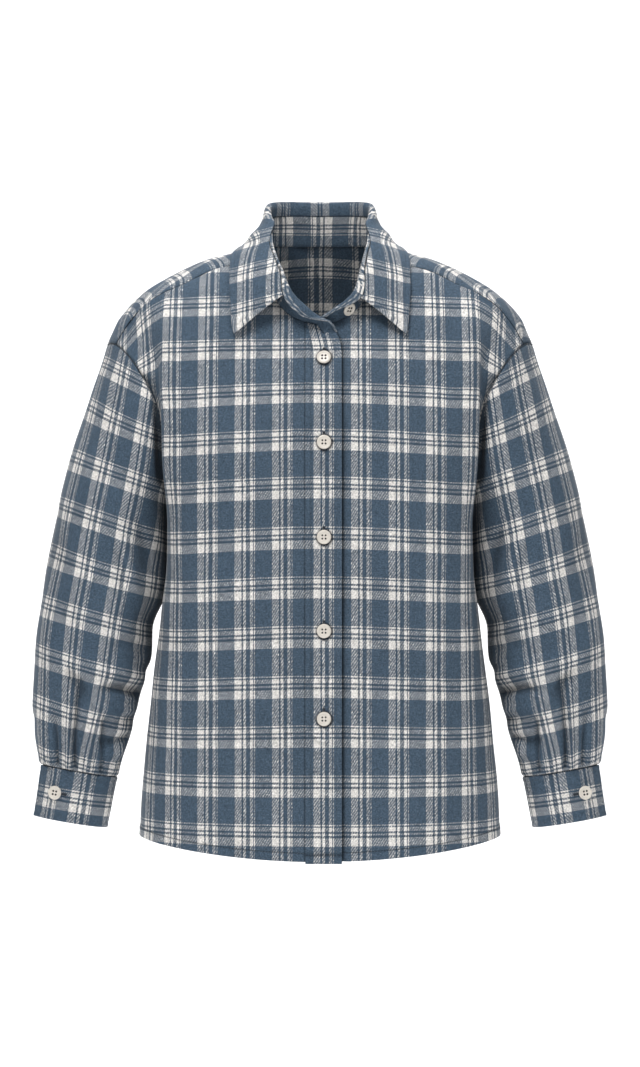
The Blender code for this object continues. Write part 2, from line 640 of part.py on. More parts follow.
def button_mesh():
    """A turned four-hole button lying in its own XY plane, its back at z 0."""
    r = BUTTON_DIAMETER / 2
    t = BUTTON_THICKNESS
    profile = (
        (0.0, 0.0), (r - 1.6, 0.0), (r - 0.3, 0.9), (r, 1.7), (r - 0.5, t - 0.3), (r - 1.3, t),
        (r - 2.1, t - 0.3), (r - 2.8, t - 0.9), (0.0, t - 1.1),
    )
    steps = 28
    disc = bmesh_from_profile(profile, steps)
    base = bpy.data.objects.new("button_blank", disc)
    collection.objects.link(base)
    cutters = []
    for sx in (-1, 1):
        for sy in (-1, 1):
            bpy.ops.mesh.primitive_cylinder_add(
                vertices=12, radius=BUTTON_HOLE / 2 * MM, depth=12 * MM,
                location=(sx * BUTTON_HOLE_SPACING / 2 * MM, sy * BUTTON_HOLE_SPACING / 2 * MM, 0),
            )
            cutter = bpy.context.object
            cutter.hide_render = True
            cut = base.modifiers.new("Hole", "BOOLEAN")
            cut.operation = "DIFFERENCE"
            cut.solver = "EXACT"
            cut.object = cutter
            cutters.append(cutter)
    bpy.context.view_layer.update()
    graph = bpy.context.evaluated_depsgraph_get()
    made = bpy.data.meshes.new_from_object(base.evaluated_get(graph))
    made.name = "button"
    for obj in [base] + cutters:
        bpy.data.objects.remove(obj, do_unlink=True)
    return made


def bmesh_from_profile(profile, steps):
    verts = [(0.0, 0.0, profile[0][1] * MM)]
    inner = profile[1:-1]
    for radius, height in inner:
        for k in range(steps):
            a = 2 * math.pi * k / steps
            verts.append((radius * MM * math.cos(a), radius * MM * math.sin(a), height * MM))
    verts.append((0.0, 0.0, profile[-1][1] * MM))
    faces = []
    for k in range(steps):
        d = (k + 1) % steps
        faces.append((0, 1 + d, 1 + k))
        for ring in range(len(inner) - 1):
            low = 1 + ring * steps
            high = low + steps
            faces.append((low + k, low + d, high + d, high + k))
        high = 1 + (len(inner) - 1) * steps
        faces.append((high + k, high + d, len(verts) - 1))
    mesh = bpy.data.meshes.new("button_blank")
    mesh.from_pydata(verts, [], faces)
    return mesh


def add_button(name, blank, at, outward, upward):
    """A button lying on its cloth, its face along outward."""
    z = Vector(outward).normalized()
    y = Vector(upward)
    y = (y - z * y.dot(z)).normalized()
    x = y.cross(z)
    spot = Vector(at) * MM + z * LIFT * MM
    mesh = blank.copy()
    mesh.transform(Matrix((x, y, z)).transposed().to_4x4())
    mesh.transform(Matrix.Translation(spot))
    obj = bpy.data.objects.new(name, mesh)
    return place(obj, name)


def grid_at(grid, u, v):
    """A point and the normal of a grid at shares u along its columns and v along its rows."""
    rows, columns = grid.shape[:2]
    a, b = v * (rows - 1), u * (columns - 1)
    i, j = min(int(a), rows - 2), min(int(b), columns - 2)
    s, t = a - i, b - j
    p00, p01, p10, p11 = grid[i, j], grid[i, j + 1], grid[i + 1, j], grid[i + 1, j + 1]
    point = (1 - s) * ((1 - t) * p00 + t * p01) + s * ((1 - t) * p10 + t * p11)
    across = (1 - s) * (p01 - p00) + s * (p11 - p10)
    down = (1 - t) * (p10 - p00) + t * (p11 - p01)
    n = np.cross(across, down)
    return point, n / np.linalg.norm(n)


for old in list(bpy.data.objects):
    bpy.data.objects.remove(old, do_unlink=True)
collection = bpy.data.collections.new("Overshirt")
bpy.context.scene.collection.children.link(collection)

# Right front, up to the placket's seam; left front, on under the placket
right = front_grid(7, 6, ARMHOLE_ROWS[0], 10)
cloth("front_right", trim(trim(right, "lr"), "t", SEAM_BEND), CLOTH_WALL, BODY_MIDDLE)
left = sunk(mirrored(front_grid(8, 6, ARMHOLE_ROWS[0], 10)))
cloth("front_left", trim(trim(left, "r"), "t", SEAM_BEND), CLOTH_WALL, BODY_MIDDLE)

# Placket: a strip a little proud of the right front, turning in at its top
placket_rows = 20
base = neck(np.linspace(0, 0.3, 40))
strip = []
for v in np.linspace(0, 1, placket_rows + 1):
    level = PLACKET_START + (HEM_MIDDLE - 2.0 - PLACKET_START) * v
    near = 1 - ease(-70, -125, level)
    right_edge = PLACKET_RIGHT - 20.0 * near**1.5
    row = []
    for s in np.linspace(0, 1, 4):
        x = PLACKET_LEFT + 0.3 + (right_edge - PLACKET_LEFT - 0.3) * s
        seam_z = float(np.interp(abs(x), -base[:, 0], base[:, 2]))
        seam_y = float(np.interp(abs(x), -base[:, 0], base[:, 1]))
        z = level + (seam_z - 1.6 - PLACKET_START) * near
        if z > BODY[0][0]:
            t = (seam_z - z) / (seam_z - BODY[0][0])
            y = float(chest(x, z)) + (seam_y - float(chest(x, seam_z))) * (1 - t) ** 3
        else:
            dense = body_section(np.linspace(0, 40, 60), np.full(60, z))
            y = float(np.interp(abs(x), -dense[:, 0], dense[:, 1]))
        row.append((x, y - 0.6, z))
    strip.append(row)
strip = np.array(strip)
cloth("front_placket", strip, BAND_WALL, BODY_MIDDLE)

# Back and yoke
back = back_grid(10, 6, ARMHOLE_ROWS[1], 10)
cloth("back", trim(trim(both_sides(back), "lr"), "t", SEAM_BEND), CLOTH_WALL, BODY_MIDDLE)
yoke = yoke_grid(6, right[0], back[0], ARMHOLE_ROWS[2])
cloth("yoke", trim(trim(both_sides(yoke), "lr"), "tb", SEAM_BEND), CLOTH_WALL, BODY_MIDDLE)

# Collar
right_halves = collar_grids(4, 6, False)
left_halves = collar_grids(4, 6, True)
stand, leaf = (
    np.concatenate([one[:, :-1], mirrored(other)[:, ::-1]], axis=1)
    for one, other in zip(right_halves, left_halves)
)
cloth("collar_stand", stand, BAND_WALL, NECK_MIDDLE)
cloth("collar_leaf", leaf, BAND_WALL, NECK_MIDDLE, inward=True)

# Sleeves and cuffs
angles = sleeve_angles()
sleeve = trim(sleeve_grid(angles, 4, 12), "t", 0.5 + 1.4 * np.exp(-(((angles % 360 - 155) / 18) ** 2)))
cloth("sleeve_right", sleeve, CLOTH_WALL, None, ring=True)
cloth("sleeve_left", mirrored(sleeve), CLOTH_WALL, None, ring=True)
cuff = cuff_grid(26, 2)
cloth("cuff_right", cuff, BAND_WALL, None)
cloth("cuff_left", mirrored(cuff), BAND_WALL, None)

# Buttons
blank = button_mesh()
for number, height in enumerate(FRONT_BUTTON_HEIGHTS, 1):
    v = (PLACKET_START - height) / (PLACKET_START - HEM_MIDDLE + 2.0)
    u = (BUTTON_X - PLACKET_LEFT) / (PLACKET_RIGHT - PLACKET_LEFT)
    point, normal = grid_at(strip, u, v)
    normal = normal if normal[1] < 0 else -normal
    add_button(f"button_front_{number}", blank, (BUTTON_X, point[1], height), normal, (0, 0, 1))
for name, flip in (("button_cuff_right", 1.0), ("button_cuff_left", -1.0)):
    point, normal = grid_at(cuff, (CUFF_BUTTON_ANGLE - CUFF_EDGE_ANGLE) / (360 + CUFF_LAP), 0.47)
    middle = np.array(CUFF_TOP) + np.array(CUFF_AXIS) * CUFF_HEIGHT / 2
    normal = normal if normal @ (point - middle) > 0 else -normal
    side = np.array([flip, 1.0, 1.0])
    up = -np.array(CUFF_AXIS) * side
    add_button(name, blank, point * side, normal * side, up)
line, _ = collar_line(0.165, True)
points, _ = along_line(line, [6.4, 9.4, 12.4])
next_line, _ = collar_line(0.19, True)
next_points, _ = along_line(next_line, [9.4])
normal = np.cross(points[2] - points[0], next_points[0] - points[1])
normal /= np.linalg.norm(normal)
normal = normal if normal[1] < 0 else -normal
side = np.array([-1.0, 1.0, 1.0])
spot = sunk(points[1] * side) + normal * side * 0.3
add_button("button_stand", blank, spot, normal * side, (points[2] - points[0]) * side)
bpy.data.meshes.remove(blank)
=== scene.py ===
import math
import bpy
import numpy as np
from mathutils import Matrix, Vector


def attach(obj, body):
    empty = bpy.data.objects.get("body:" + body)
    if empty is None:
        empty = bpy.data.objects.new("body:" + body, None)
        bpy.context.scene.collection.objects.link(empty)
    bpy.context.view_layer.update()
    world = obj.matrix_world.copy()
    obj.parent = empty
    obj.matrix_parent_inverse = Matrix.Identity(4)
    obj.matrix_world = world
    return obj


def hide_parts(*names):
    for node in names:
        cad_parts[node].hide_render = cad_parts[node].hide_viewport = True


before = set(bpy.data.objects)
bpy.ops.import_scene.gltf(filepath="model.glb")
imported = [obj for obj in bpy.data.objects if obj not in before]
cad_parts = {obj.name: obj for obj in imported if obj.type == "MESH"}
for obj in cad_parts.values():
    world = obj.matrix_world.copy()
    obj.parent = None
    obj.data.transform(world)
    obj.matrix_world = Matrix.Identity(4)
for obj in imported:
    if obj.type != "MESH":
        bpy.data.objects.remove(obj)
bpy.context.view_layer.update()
mm = 0.001  # every measure below is in millimetres unless it says otherwise

# Studio: a level camera in front, a big soft key to the left, an even fill all round
studio = {
    "cameraDistance": 3200,
    "aimHeight": -303,
    "lens": 98.15,
    "floorHeight": -1000,
    "paperWide": 6400,
    "paperFront": -3600,
    "paperBack": 1900,
    "paperCurve": 900,
    "paperTop": 2600,
    "paperColour": (0.95, 0.95, 0.95, 1),
    "paperGlow": 0.33,
    "roomColour": (0.88, 0.90, 0.93, 1),
    "roomStrength": 0.235,
    "lamps": (
        # name, place, aim, size, watts
        ("keyLight", (-600, -1500, 2300), (0, 0, -150), 1200, 67),
        ("fillLight", (1700, -2600, 900), (0, 0, -250), 1600, 15),
        ("topLight", (0, 300, 2100), (0, 0, -100), 1300, 28),
    ),
}


def selectOnly(piece):
    bpy.ops.object.select_all(action="DESELECT")
    bpy.context.view_layer.objects.active = piece
    piece.select_set(True)


def meshPiece(name, points, faces, material):
    # a new object from points in millimetres
    mesh = bpy.data.meshes.new(name)
    mesh.from_pydata((np.array(points, float) * mm).tolist(), [], faces)
    mesh.materials.append(material)
    piece = bpy.data.objects.new(name, mesh)
    bpy.context.scene.collection.objects.link(piece)
    return piece


def setSockets(node, values):
    for name, value in values.items():
        node.inputs[name].default_value = value


def startMaterial(name):
    made = bpy.data.materials.new(name)
    made.use_nodes = True
    return made, made.node_tree.nodes["Principled BSDF"], made.node_tree


def makePaper():
    paper, shader, tree = startMaterial("studioPaper")
    setSockets(shader, {
        "Base Color": studio["paperColour"], "Roughness": 0.95, "Specular IOR Level": 0.1,
        "Emission Color": (1, 1, 1, 1), "Emission Strength": studio["paperGlow"],
    })
    # seen from behind, the paper is clear
    clear, mix, turned = (
        tree.nodes.new("ShaderNode" + kind) for kind in ("BsdfTransparent", "MixShader", "NewGeometry")
    )
    tree.links.new(turned.outputs["Backfacing"], mix.inputs[0])
    tree.links.new(shader.outputs[0], mix.inputs[1])
    tree.links.new(clear.outputs[0], mix.inputs[2])
    tree.links.new(mix.outputs[0], tree.nodes["Material Output"].inputs["Surface"])
    return paper


def makeStudio():
    # one roll of paper is the floor and, past a wide curve, the wall
    paper = makePaper()
    low, back, curve = studio["floorHeight"], studio["paperBack"], studio["paperCurve"]
    bend = [math.radians(a) for a in range(0, 91, 3)]
    wallLine = [(back - curve + curve * math.sin(a), low + curve * (1 - math.cos(a))) for a in bend]
    wallLine.append((back, studio["paperTop"]))
    floorLine = [(studio["paperFront"], low), (-1500, low), (0, low), wallLine[0]]
    half = studio["paperWide"] / 2
    for name, line in (("studioFloor", floorLine), ("studioWall", wallLine)):
        points = [(x, y, z) for y, z in line for x in (-half, half)]
        faces = [(2 * k, 2 * k + 1, 2 * k + 3, 2 * k + 2) for k in range(len(line) - 1)]
        piece = meshPiece(name, points, faces, paper)
        piece.data.shade_smooth()
    scene = bpy.context.scene
    scene.world = bpy.data.worlds.new("studioRoom")
    scene.world.use_nodes = True
    setSockets(scene.world.node_tree.nodes["Background"], {
        "Color": studio["roomColour"], "Strength": studio["roomStrength"],
    })
    for name, place, aim, size, watts in studio["lamps"]:
        bpy.ops.object.light_add(type="AREA", location=[c * mm for c in place])
        lamp = bpy.context.object
        lamp.name = name
        lamp.data.size = size * mm
        lamp.data.energy = watts
        lamp.rotation_euler = (Vector(aim) - Vector(place)).to_track_quat("-Z", "Y").to_euler()
    place = (0, -studio["cameraDistance"] * mm, studio["aimHeight"] * mm)
    bpy.ops.object.camera_add(location=place, rotation=(math.pi / 2, 0, 0))
    scene.camera = bpy.context.object
    scene.camera.name = "studioCamera"
    scene.camera.data.sensor_fit = "VERTICAL"
    scene.camera.data.sensor_height = 36
    scene.camera.data.lens = studio["lens"]
    scene.view_settings.view_transform = "Standard"


makeStudio()
print("studio, lamps and camera stand")


# Shader sums: a wrapped socket, so that a mask can be written as 1 - a * b
class Wire:
    def __init__(self, tree, socket):
        self.tree = tree
        self.socket = socket

    def node(self, kind, settings=None, sockets=None, out=0):
        made = self.tree.nodes.new("ShaderNode" + kind)
        for key, value in (settings or {}).items():
            if key == "stops":
                stops = made.color_ramp.elements
                while len(stops) < len(value):
                    stops.new(0.5)
                for stop, (place, colour) in zip(stops, value):
                    stop.position = place
                    stop.color = colour
            else:
                setattr(made, key, value)
        for key, value in (sockets or {}).items():
            if isinstance(value, Wire):
                self.tree.links.new(value.socket, made.inputs[key])
            else:
                made.inputs[key].default_value = value
        return Wire(self.tree, made.outputs[out])

    def math(self, operation, *values):
        return self.node("Math", {"operation": operation}, dict(enumerate(values)))

    def __add__(self, other):
        return self.math("ADD", self, other)

    def __radd__(self, other):
        return self.math("ADD", other, self)

    def __sub__(self, other):
        return self.math("SUBTRACT", self, other)

    def __rsub__(self, other):
        return self.math("SUBTRACT", other, self)

    def __mul__(self, other):
        return self.math("MULTIPLY", self, other)

    def __rmul__(self, other):
        return self.math("MULTIPLY", other, self)

    def split(self, kind):
        # the three channels of a colour or a vector
        made = self.node(kind, {}, {0: self}).socket.node
        return [Wire(self.tree, made.outputs[k]) for k in range(3)]

    def blend(self, first, second):
        # first where this mask is 0, second where it is 1, as colours
        return self.node("Mix", {"data_type": "RGBA"}, {0: self, 6: first, 7: second}, 2)

    def noise(self, scale, detail):
        # this wire is the place
        return self.node("TexNoise", {}, {"Vector": self, "Scale": scale, "Detail": detail})

    def scaled(self, colour):
        # a colour made lighter or darker by this wire
        return self.node("VectorMath", {"operation": "SCALE"}, {0: colour, 3: self})

    def bump(self, distance, strength):
        return self.node("Bump", {}, {"Height": self, "Distance": distance, "Strength": strength})

    def into(self, shader, name):
        self.tree.links.new(self.socket, shader.inputs[name])


# Check cloth: one repeat of the stripes across and down, as shares of the repeat.
# light: how much pale yarn shows where the stripe runs alone; dark: navy edging yarns
check = {
    "acrossRepeat": 39.8,
    "downRepeat": 52.4,
    "wideMiddle": 0.0933,
    "across": (
        # from, to, light, dark
        (0.000, 0.187, 0.29, 0),
        (0.190, 0.228, 0.00, 0.6),
        (0.232, 0.304, 0.42, 0),
        (0.310, 0.405, 0.00, 0.30),
        (0.413, 0.493, 0.30, 0),
        (0.496, 0.514, 0.00, 0.5),
        (0.518, 0.546, 0.24, 0),
    ),
    "down": (
        (0.002, 0.031, 0.30, 0),
        (0.034, 0.058, 0.00, 0.3),
        (0.062, 0.148, 0.25, 0),
        (0.151, 0.184, 0.00, 0.5),
        (0.188, 0.229, 0.20, 0),
        (0.231, 0.272, 0.00, 0.6),
        (0.276, 0.448, 0.29, 0),
    ),
    "softEdge": 0.006,
    "lightShare": 0.60,
    "dashLight": 0.62,
    "ground": (0.0585, 0.0915, 0.1315, 1),
    "navy": (0.041, 0.060, 0.086, 1),
    "pale": (0.800, 0.768, 0.728, 1),
    "twillPitch": 2.22,
    "twillDepth": 0.80,
    "roughness": 0.88,
    "sheen": 0.10,
    # how dark the painted shade gets, and how wide
    "seamShade": 0.80,
    "seamShadeWidth": 0.62,
    "napScale": 620,
    "grainScale": 1300,
    "yarnScale": 900,
    "mottleScale": 260,
    "wanderScale": 38,
    "wander": 0.018,
    "shadeScale": 14,
    "bumpHeight": 0.00022,
}


def stripeStops(stripes):
    # red says there is a pale stripe, green a navy one, blue how pale it is on its own
    edge, bare = check["softEdge"] / 2, (0, 0, 0, 1)
    stops = {}
    for start, end, light, dark in stripes:
        colour = (1.0 if light else 0.0, dark, light, 1)
        corners = ((start - edge, bare), (start + edge, colour), (end - edge, colour), (end + edge, bare))
        stops.update({round(max(place, 0.0), 4): value for place, value in corners})
    return sorted(stops.items())


def clothMaterial(name):
    made, shader, tree = startMaterial(name)
    start = Wire(tree, None)
    across, down, _ = start.node("UVMap", {"uv_map": "cut"}).split("SeparateXYZ")
    # the seams layer: how near each point is to a line of painted shade
    paintedShadeNear, _, _ = start.node("UVMap", {"uv_map": "seams"}).split("SeparateXYZ")
    place = start.node("TexCoord", out=3)

    def drawnOut(wide, long, detail):
        # noise drawn out along one set of yarns
        return start.node("CombineXYZ", {}, {0: across * wide, 1: down * long}).noise(1.0, detail)

    # yarns wander a little, so no stripe is ruled straight
    wander = place.noise(check["wanderScale"], 2.0)
    drift = (wander - 0.5) * check["wander"]
    ramps = []
    for line, stripes in ((across, check["across"]), (down, check["down"])):
        share = start.math("FRACT", line + drift)
        ramp = start.node("ValToRGB", {"stops": stripeStops(stripes)}, {0: share})
        ramps.append(ramp.split("SeparateColor"))
    (warpOn, warpDark, warpLight), (weftOn, weftDark, weftLight) = ramps
    cross = warpOn * weftOn
    # twill: a fine diagonal that shows where only one set of yarns is pale
    ribs = 2 * math.pi / check["twillPitch"]
    slant = across * (check["acrossRepeat"] * ribs * 0.82) + down * (check["downRepeat"] * ribs * 0.52)
    yarnNoise = place.noise(check["yarnScale"], 1.0)
    twill = start.math("SINE", slant + yarnNoise * 1.5 + wander * 7.0)
    slubs, slubsDown = drawnOut(30.0, 5.0, 2.0), drawnOut(5.0, 40.0, 2.0)
    nap = place.noise(check["napScale"], 3.0)
    grain = place.noise(check["grainScale"], 1.0)
    # thick places in the pale yarn
    thick, thickDown = (
        start.node("MapRange", {}, {0: dashes, 1: 0.60, 2: 0.70, 3: 0.0, 4: 1.0})
        for dashes in (drawnOut(85.0, 13.0, 0.0), drawnOut(10.0, 110.0, 0.0))
    )
    alone = warpLight * (0.45 + slubs * 1.1) + weftLight * (0.45 + slubsDown * 1.1)
    alone = alone + thick * warpOn * check["dashLight"] + thickDown * weftOn * (check["dashLight"] * 0.6)
    patchy = alone * check["lightShare"] * (1 + twill * check["twillDepth"]) * (-0.25 + nap * 1.5 + grain)
    pale = patchy * (1 - cross) + cross * (0.90 + twill * 0.05)
    flecks = start.node("ValToRGB", {"stops": [(0.62, (0, 0, 0, 1)), (0.74, (1, 1, 1, 1))]}, {0: yarnNoise})
    pale = start.math("MINIMUM", pale + flecks.split("SeparateColor")[0] * 0.055, 1.0)
    darkness = start.math("MAXIMUM", warpDark, weftDark) * 0.85
    cloth = pale.blend(darkness.blend(check["ground"], check["navy"]), check["pale"])
    shade, mottle = place.noise(check["shadeScale"], 2.0), place.noise(check["mottleScale"], 2.0)
    tone = -0.33 + nap * 1.46 + grain * 0.55 + shade * 0.20 + mottle * 0.42
    tone = tone + (slubs + slubsDown - 1.0) * 0.18
    # painted shade: the cloth's colour is darkened near seams, stitch lines, fold valleys, hollows and
    # buttons, as the seams layer tells
    paintedShade = start.math("EXPONENT", paintedShadeNear * paintedShadeNear * (-1.0 / check["seamShadeWidth"] ** 2))
    (tone * (1 - paintedShade * check["seamShade"])).scaled(cloth).into(shader, "Base Color")
    height = nap * 0.9 + twill * 0.30 + slubs * 0.5 + slubsDown * 0.5 + mottle * 0.9
    height.bump(check["bumpHeight"], 0.8).into(shader, "Normal")
    setSockets(shader, {
        "Roughness": check["roughness"], "Sheen Weight": check["sheen"], "Sheen Roughness": 0.45,
        "Specular IOR Level": 0.18,
    })
    return made


def plainMaterial(name, colour, roughness, grain, grainDepth, specular=0.5):
    made, shader, tree = startMaterial(name)
    noise = Wire(tree, None).node("TexCoord", out=3).noise(grain, 3.0)
    ((1 - grainDepth / 2) + noise * grainDepth).scaled(colour).into(shader, "Base Color")
    noise.bump(0.00004, 0.6).into(shader, "Normal")
    setSockets(shader, {"Roughness": roughness, "Specular IOR Level": specular})
    return made


checkCloth = clothMaterial("checkCloth")
seamThread = plainMaterial("seamThread", (0.062, 0.090, 0.120), 0.75, 1500.0, 0.35)
holeThreadSlitShade = plainMaterial("holeThreadSlitShade", (0.018, 0.025, 0.036), 0.75, 1500.0, 0.4)
buttonThread = plainMaterial("buttonThread", (0.004, 0.005, 0.007), 0.95, 1500.0, 0.3, specular=0.05)
buttonResin = plainMaterial("buttonResin", (0.72, 0.67, 0.60), 0.30, 260.0, 0.26)
print("materials mixed")


# Curves and surfaces that the cut pieces share
def hermite(s, first, last, leaving, arriving):
    return (
        (2 * s**3 - 3 * s**2 + 1) * first + (3 * s**2 - 2 * s**3) * last
        + (s**3 - 2 * s**2 + s) * leaving + (s**3 - s**2) * arriving
    )


def through(knots, values, at):
    # a smooth curve through the values, which never runs past them
    knots, values = np.asarray(knots, float), np.asarray(values, float)
    step = np.diff(knots)
    slope = np.diff(values) / step
    together = slope[:-1] * slope[1:] > 0
    total = np.where(together, slope[:-1] + slope[1:], 1.0)
    between = np.where(together, 2 * slope[:-1] * slope[1:] / total, 0.0)
    tangent = np.concatenate([slope[:1], between, slope[-1:]])
    at = np.clip(np.asarray(at, float), knots[0], knots[-1])
    i = np.clip(np.searchsorted(knots, at) - 1, 0, len(step) - 1)
    s = (at - knots[i]) / step[i]
    return hermite(s, values[i], values[i + 1], step[i] * tangent[i], step[i] * tangent[i + 1])


def column(table, n, at):
    rows = sorted(table)
    return through([row[0] for row in rows], [row[n] for row in rows], at)


def ease(low, high, at):
    s = np.clip((np.asarray(at, float) - low) / (high - low), 0, 1)
    return s * s * (3 - 2 * s)


def bell(off, wide):
    return np.exp(-((off / wide) ** 2))


def unit(vector):
    return vector / np.maximum(np.linalg.norm(vector, axis=-1, keepdims=True), 1e-9)


def lengths(line):
    return np.concatenate([[0], np.cumsum(np.linalg.norm(np.diff(line, axis=0), axis=1))])


def pointsAt(line, distances):
    length = lengths(line)
    return np.stack([np.interp(distances, length, line[:, k]) for k in range(3)], axis=1)


def resample(points, shares):
    points = np.asarray(points, float)
    return pointsAt(points, np.asarray(shares) * lengths(points)[-1])


def smoothLine(points, count):
    p = np.asarray(points, float)
    knots = np.concatenate([[0], np.cumsum(np.sqrt(np.linalg.norm(np.diff(p, axis=0), axis=1)) + 1e-9)])
    tangent = np.gradient(p, knots, axis=0)
    tangent[1:-1] = (p[2:] - p[:-2]) / (knots[2:] - knots[:-2])[:, None]
    s = np.linspace(0, 1, count, endpoint=False)[:, None]
    line = [
        hermite(s, p[i], p[i + 1], h * tangent[i], h * tangent[i + 1]) for i, h in enumerate(np.diff(knots))
    ]
    return np.concatenate(line + [p[-1:]])


# Body: armholes, level sections, chest and shoulders
body = {
    "wall": 1.5,
    "seamGap": 0.2,
    "underYoke": 1.4,  # the back's top edge runs on under the yoke, so no light comes through the seam
    "shoulderTip": (-234, 0, -95),
    "underarm": (-163.5, 0, -262),
    "armholeDepth": 78.0,
    "yokeFrontAngle": 20.0,
    "yokeBackAngle": -48.0,
    # angle round the armhole, scoop at the front, scoop at the back
    "armhole": (
        (0, 0, 0), (30, 13.5, 4), (60, 23.4, 8), (85, 27, 10), (105, 22, 9), (130, 11.5, 6),
        (155, 3.5, 2), (180, 0, 0),
    ),
    # height, half width, front depth, back depth, squareness of the front, roll
    "sections": (
        (-262, 163.5, 119.5, 104, 4.5, 5), (-310, 165, 120, 102, 4, 4),
        (-350, 167.5, 120, 101, 3.6, 2), (-387, 172.3, 120, 102, 3.3, 0.5),
        (-431, 177.3, 119.5, 104, 3, 0), (-486, 184, 119, 107, 2.9, 0),
        (-541, 189.4, 119, 110, 2.8, 0), (-596, 194.4, 119.5, 113, 2.8, 0),
        (-660, 198, 120, 116, 2.8, 0),
    ),
    # the hollow between chest and shoulder, and the heights where level sections take over
    "hollow": 0.44,
    "hollowWide": 60,
    "chestEnds": (-160, -258),
    "backSquare": 2.7,
    "rollFull": 3.18,
    "neckCorner": -71.5,
    "faceEdge": 146.0,
    "backFaceEdge": 140.0,
    "hemMiddle": -651.0,
    "hemRise": 20.0,
    "hemRound": 1.35,
    # across, height of the shoulder's ridge
    "ridge": (
        (0, 75), (50, 44.5), (64, 27), (74, 13.5), (85, 9), (97, 5.5), (122, -1.2), (147, -11),
        (169, -21.5), (190, -33.5), (203, -44), (213, -55.5), (220, -66.5), (227, -79), (234, -95),
    ),
    "chestRidge": ((0, 20), (50, 14), (74, 9), (85, 7.5), (97, 4), (122, -3), (150, -14.5), (180, -30)),
    # how far below the ridge, depth of the chest
    "chest": (
        (0, 0), (6, 20), (14, 38), (30, 56), (50, 70), (75, 83), (105, 94), (140, 103),
        (180, 110), (220, 116), (262, 119), (300, 120),
    ),
    # across, depth, height of the yoke's seams
    "yokeFront": (
        (71.5, 31, -7), (97, 37, -10.5), (122, 41, -18), (150, 44, -32), (172, 46, -42),
        (190, 44, -53.5), (205, 39.5, -69), (216, 34.5, -84),
    ),
    "yokeBack": ((0, 101, -92), (50, 101, -93), (100, 97, -97), (150, 87, -104), (190, 72, -112)),
    # down the armhole, angle, roll x, roll y, valley x, valley y, drop of the roll, drop of the valley
    "side": (
        (0.00, 20, -166, -45.5, -192, -43.5, 8, 24), (0.20, 45, -168.5, -79, -186, -64, 7, 17),
        (0.35, 63, -168.5, -88, -176, -75, 5, 12), (0.50, 88, -168.5, -94, -171.5, -84, 4, 9),
        (0.75, 130, -168, -95, -168.5, -80, 2, 10), (1.00, 180, -167, -86, -165.4, -58, 0, 0),
    ),
}
bodyTop = body["sections"][0][0]


def armholePoint(angle):
    # 0 at the shoulder tip, 90 at the front, 180 under the arm
    angle = np.asarray(angle, float)
    turn = (angle + 180.0) % 360.0 - 180.0
    a = np.radians(angle)
    tip, low = np.array(body["shoulderTip"]), np.array(body["underarm"])
    half = np.linalg.norm(tip - low) / 2
    along = (tip - low) / (2 * half)
    inward = np.array([along[2], 0.0, -along[0]])
    atFront, atBack = (column(body["armhole"], n, np.abs(turn)) for n in (1, 2))
    scoop = np.where(turn >= 0, atFront, atBack)
    reach = body["armholeDepth"] * np.sign(np.sin(a)) * np.abs(np.sin(a)) ** 0.9
    return (
        (tip + low) / 2 + half * np.cos(a)[..., None] * along + scoop[..., None] * inward
        - reach[..., None] * np.array([0.0, 1.0, 0.0])
    )


def bodySection(turn, height):
    # 0 at the front, 90 at the side, 180 at the back
    turn, height = np.broadcast_arrays(np.asarray(turn, float), np.asarray(height, float))
    halfWidth, ahead, behind, square, roll = (column(body["sections"], n, height) for n in range(1, 6))
    s, c = np.abs(np.sin(np.radians(turn))), np.abs(np.cos(np.radians(turn)))
    front = turn <= 90
    square = np.where(front, square, body["backSquare"])
    depth = np.where(front, -ahead, behind)
    roll = np.where(front, roll * body["rollFull"] * s**2 * c**1.2, 0.0)
    return np.stack([-halfWidth * s ** (2 / square) - roll, depth * c ** (2 / square), height], -1)


chestRim = bodySection(np.linspace(0, 60, 40), bodyTop)


def chestDepth(x, z):
    x, z = np.abs(np.asarray(x, float)), np.asarray(z, float)
    below = column(body["chestRidge"], 1, x) - z
    hollow = body["hollow"] * np.clip((200 - below) / 144, 0, None) ** 1.5 * bell(x, body["hollowWide"])
    upper = -column(body["chest"], 1, below) * (1 - hollow)
    low = ease(*body["chestEnds"], z)
    return upper * (1 - low) + np.interp(x, -chestRim[:, 0], chestRim[:, 1]) * low


def shoulderHeight(x, y):
    x, y = np.abs(np.asarray(x, float)), np.asarray(y, float)
    ridge = column(body["ridge"], 1, x)
    drop = (y / column(body["yokeBack"], 1, x)).clip(0) ** 2.2
    fall = (-y / column(body["yokeFront"], 1, x)).clip(0) ** 1.9
    behind = ridge - (ridge - column(body["yokeBack"], 2, x)) * drop
    ahead = ridge - (ridge - column(body["yokeFront"], 2, x)) * fall
    return np.where(y > 0, behind, ahead)


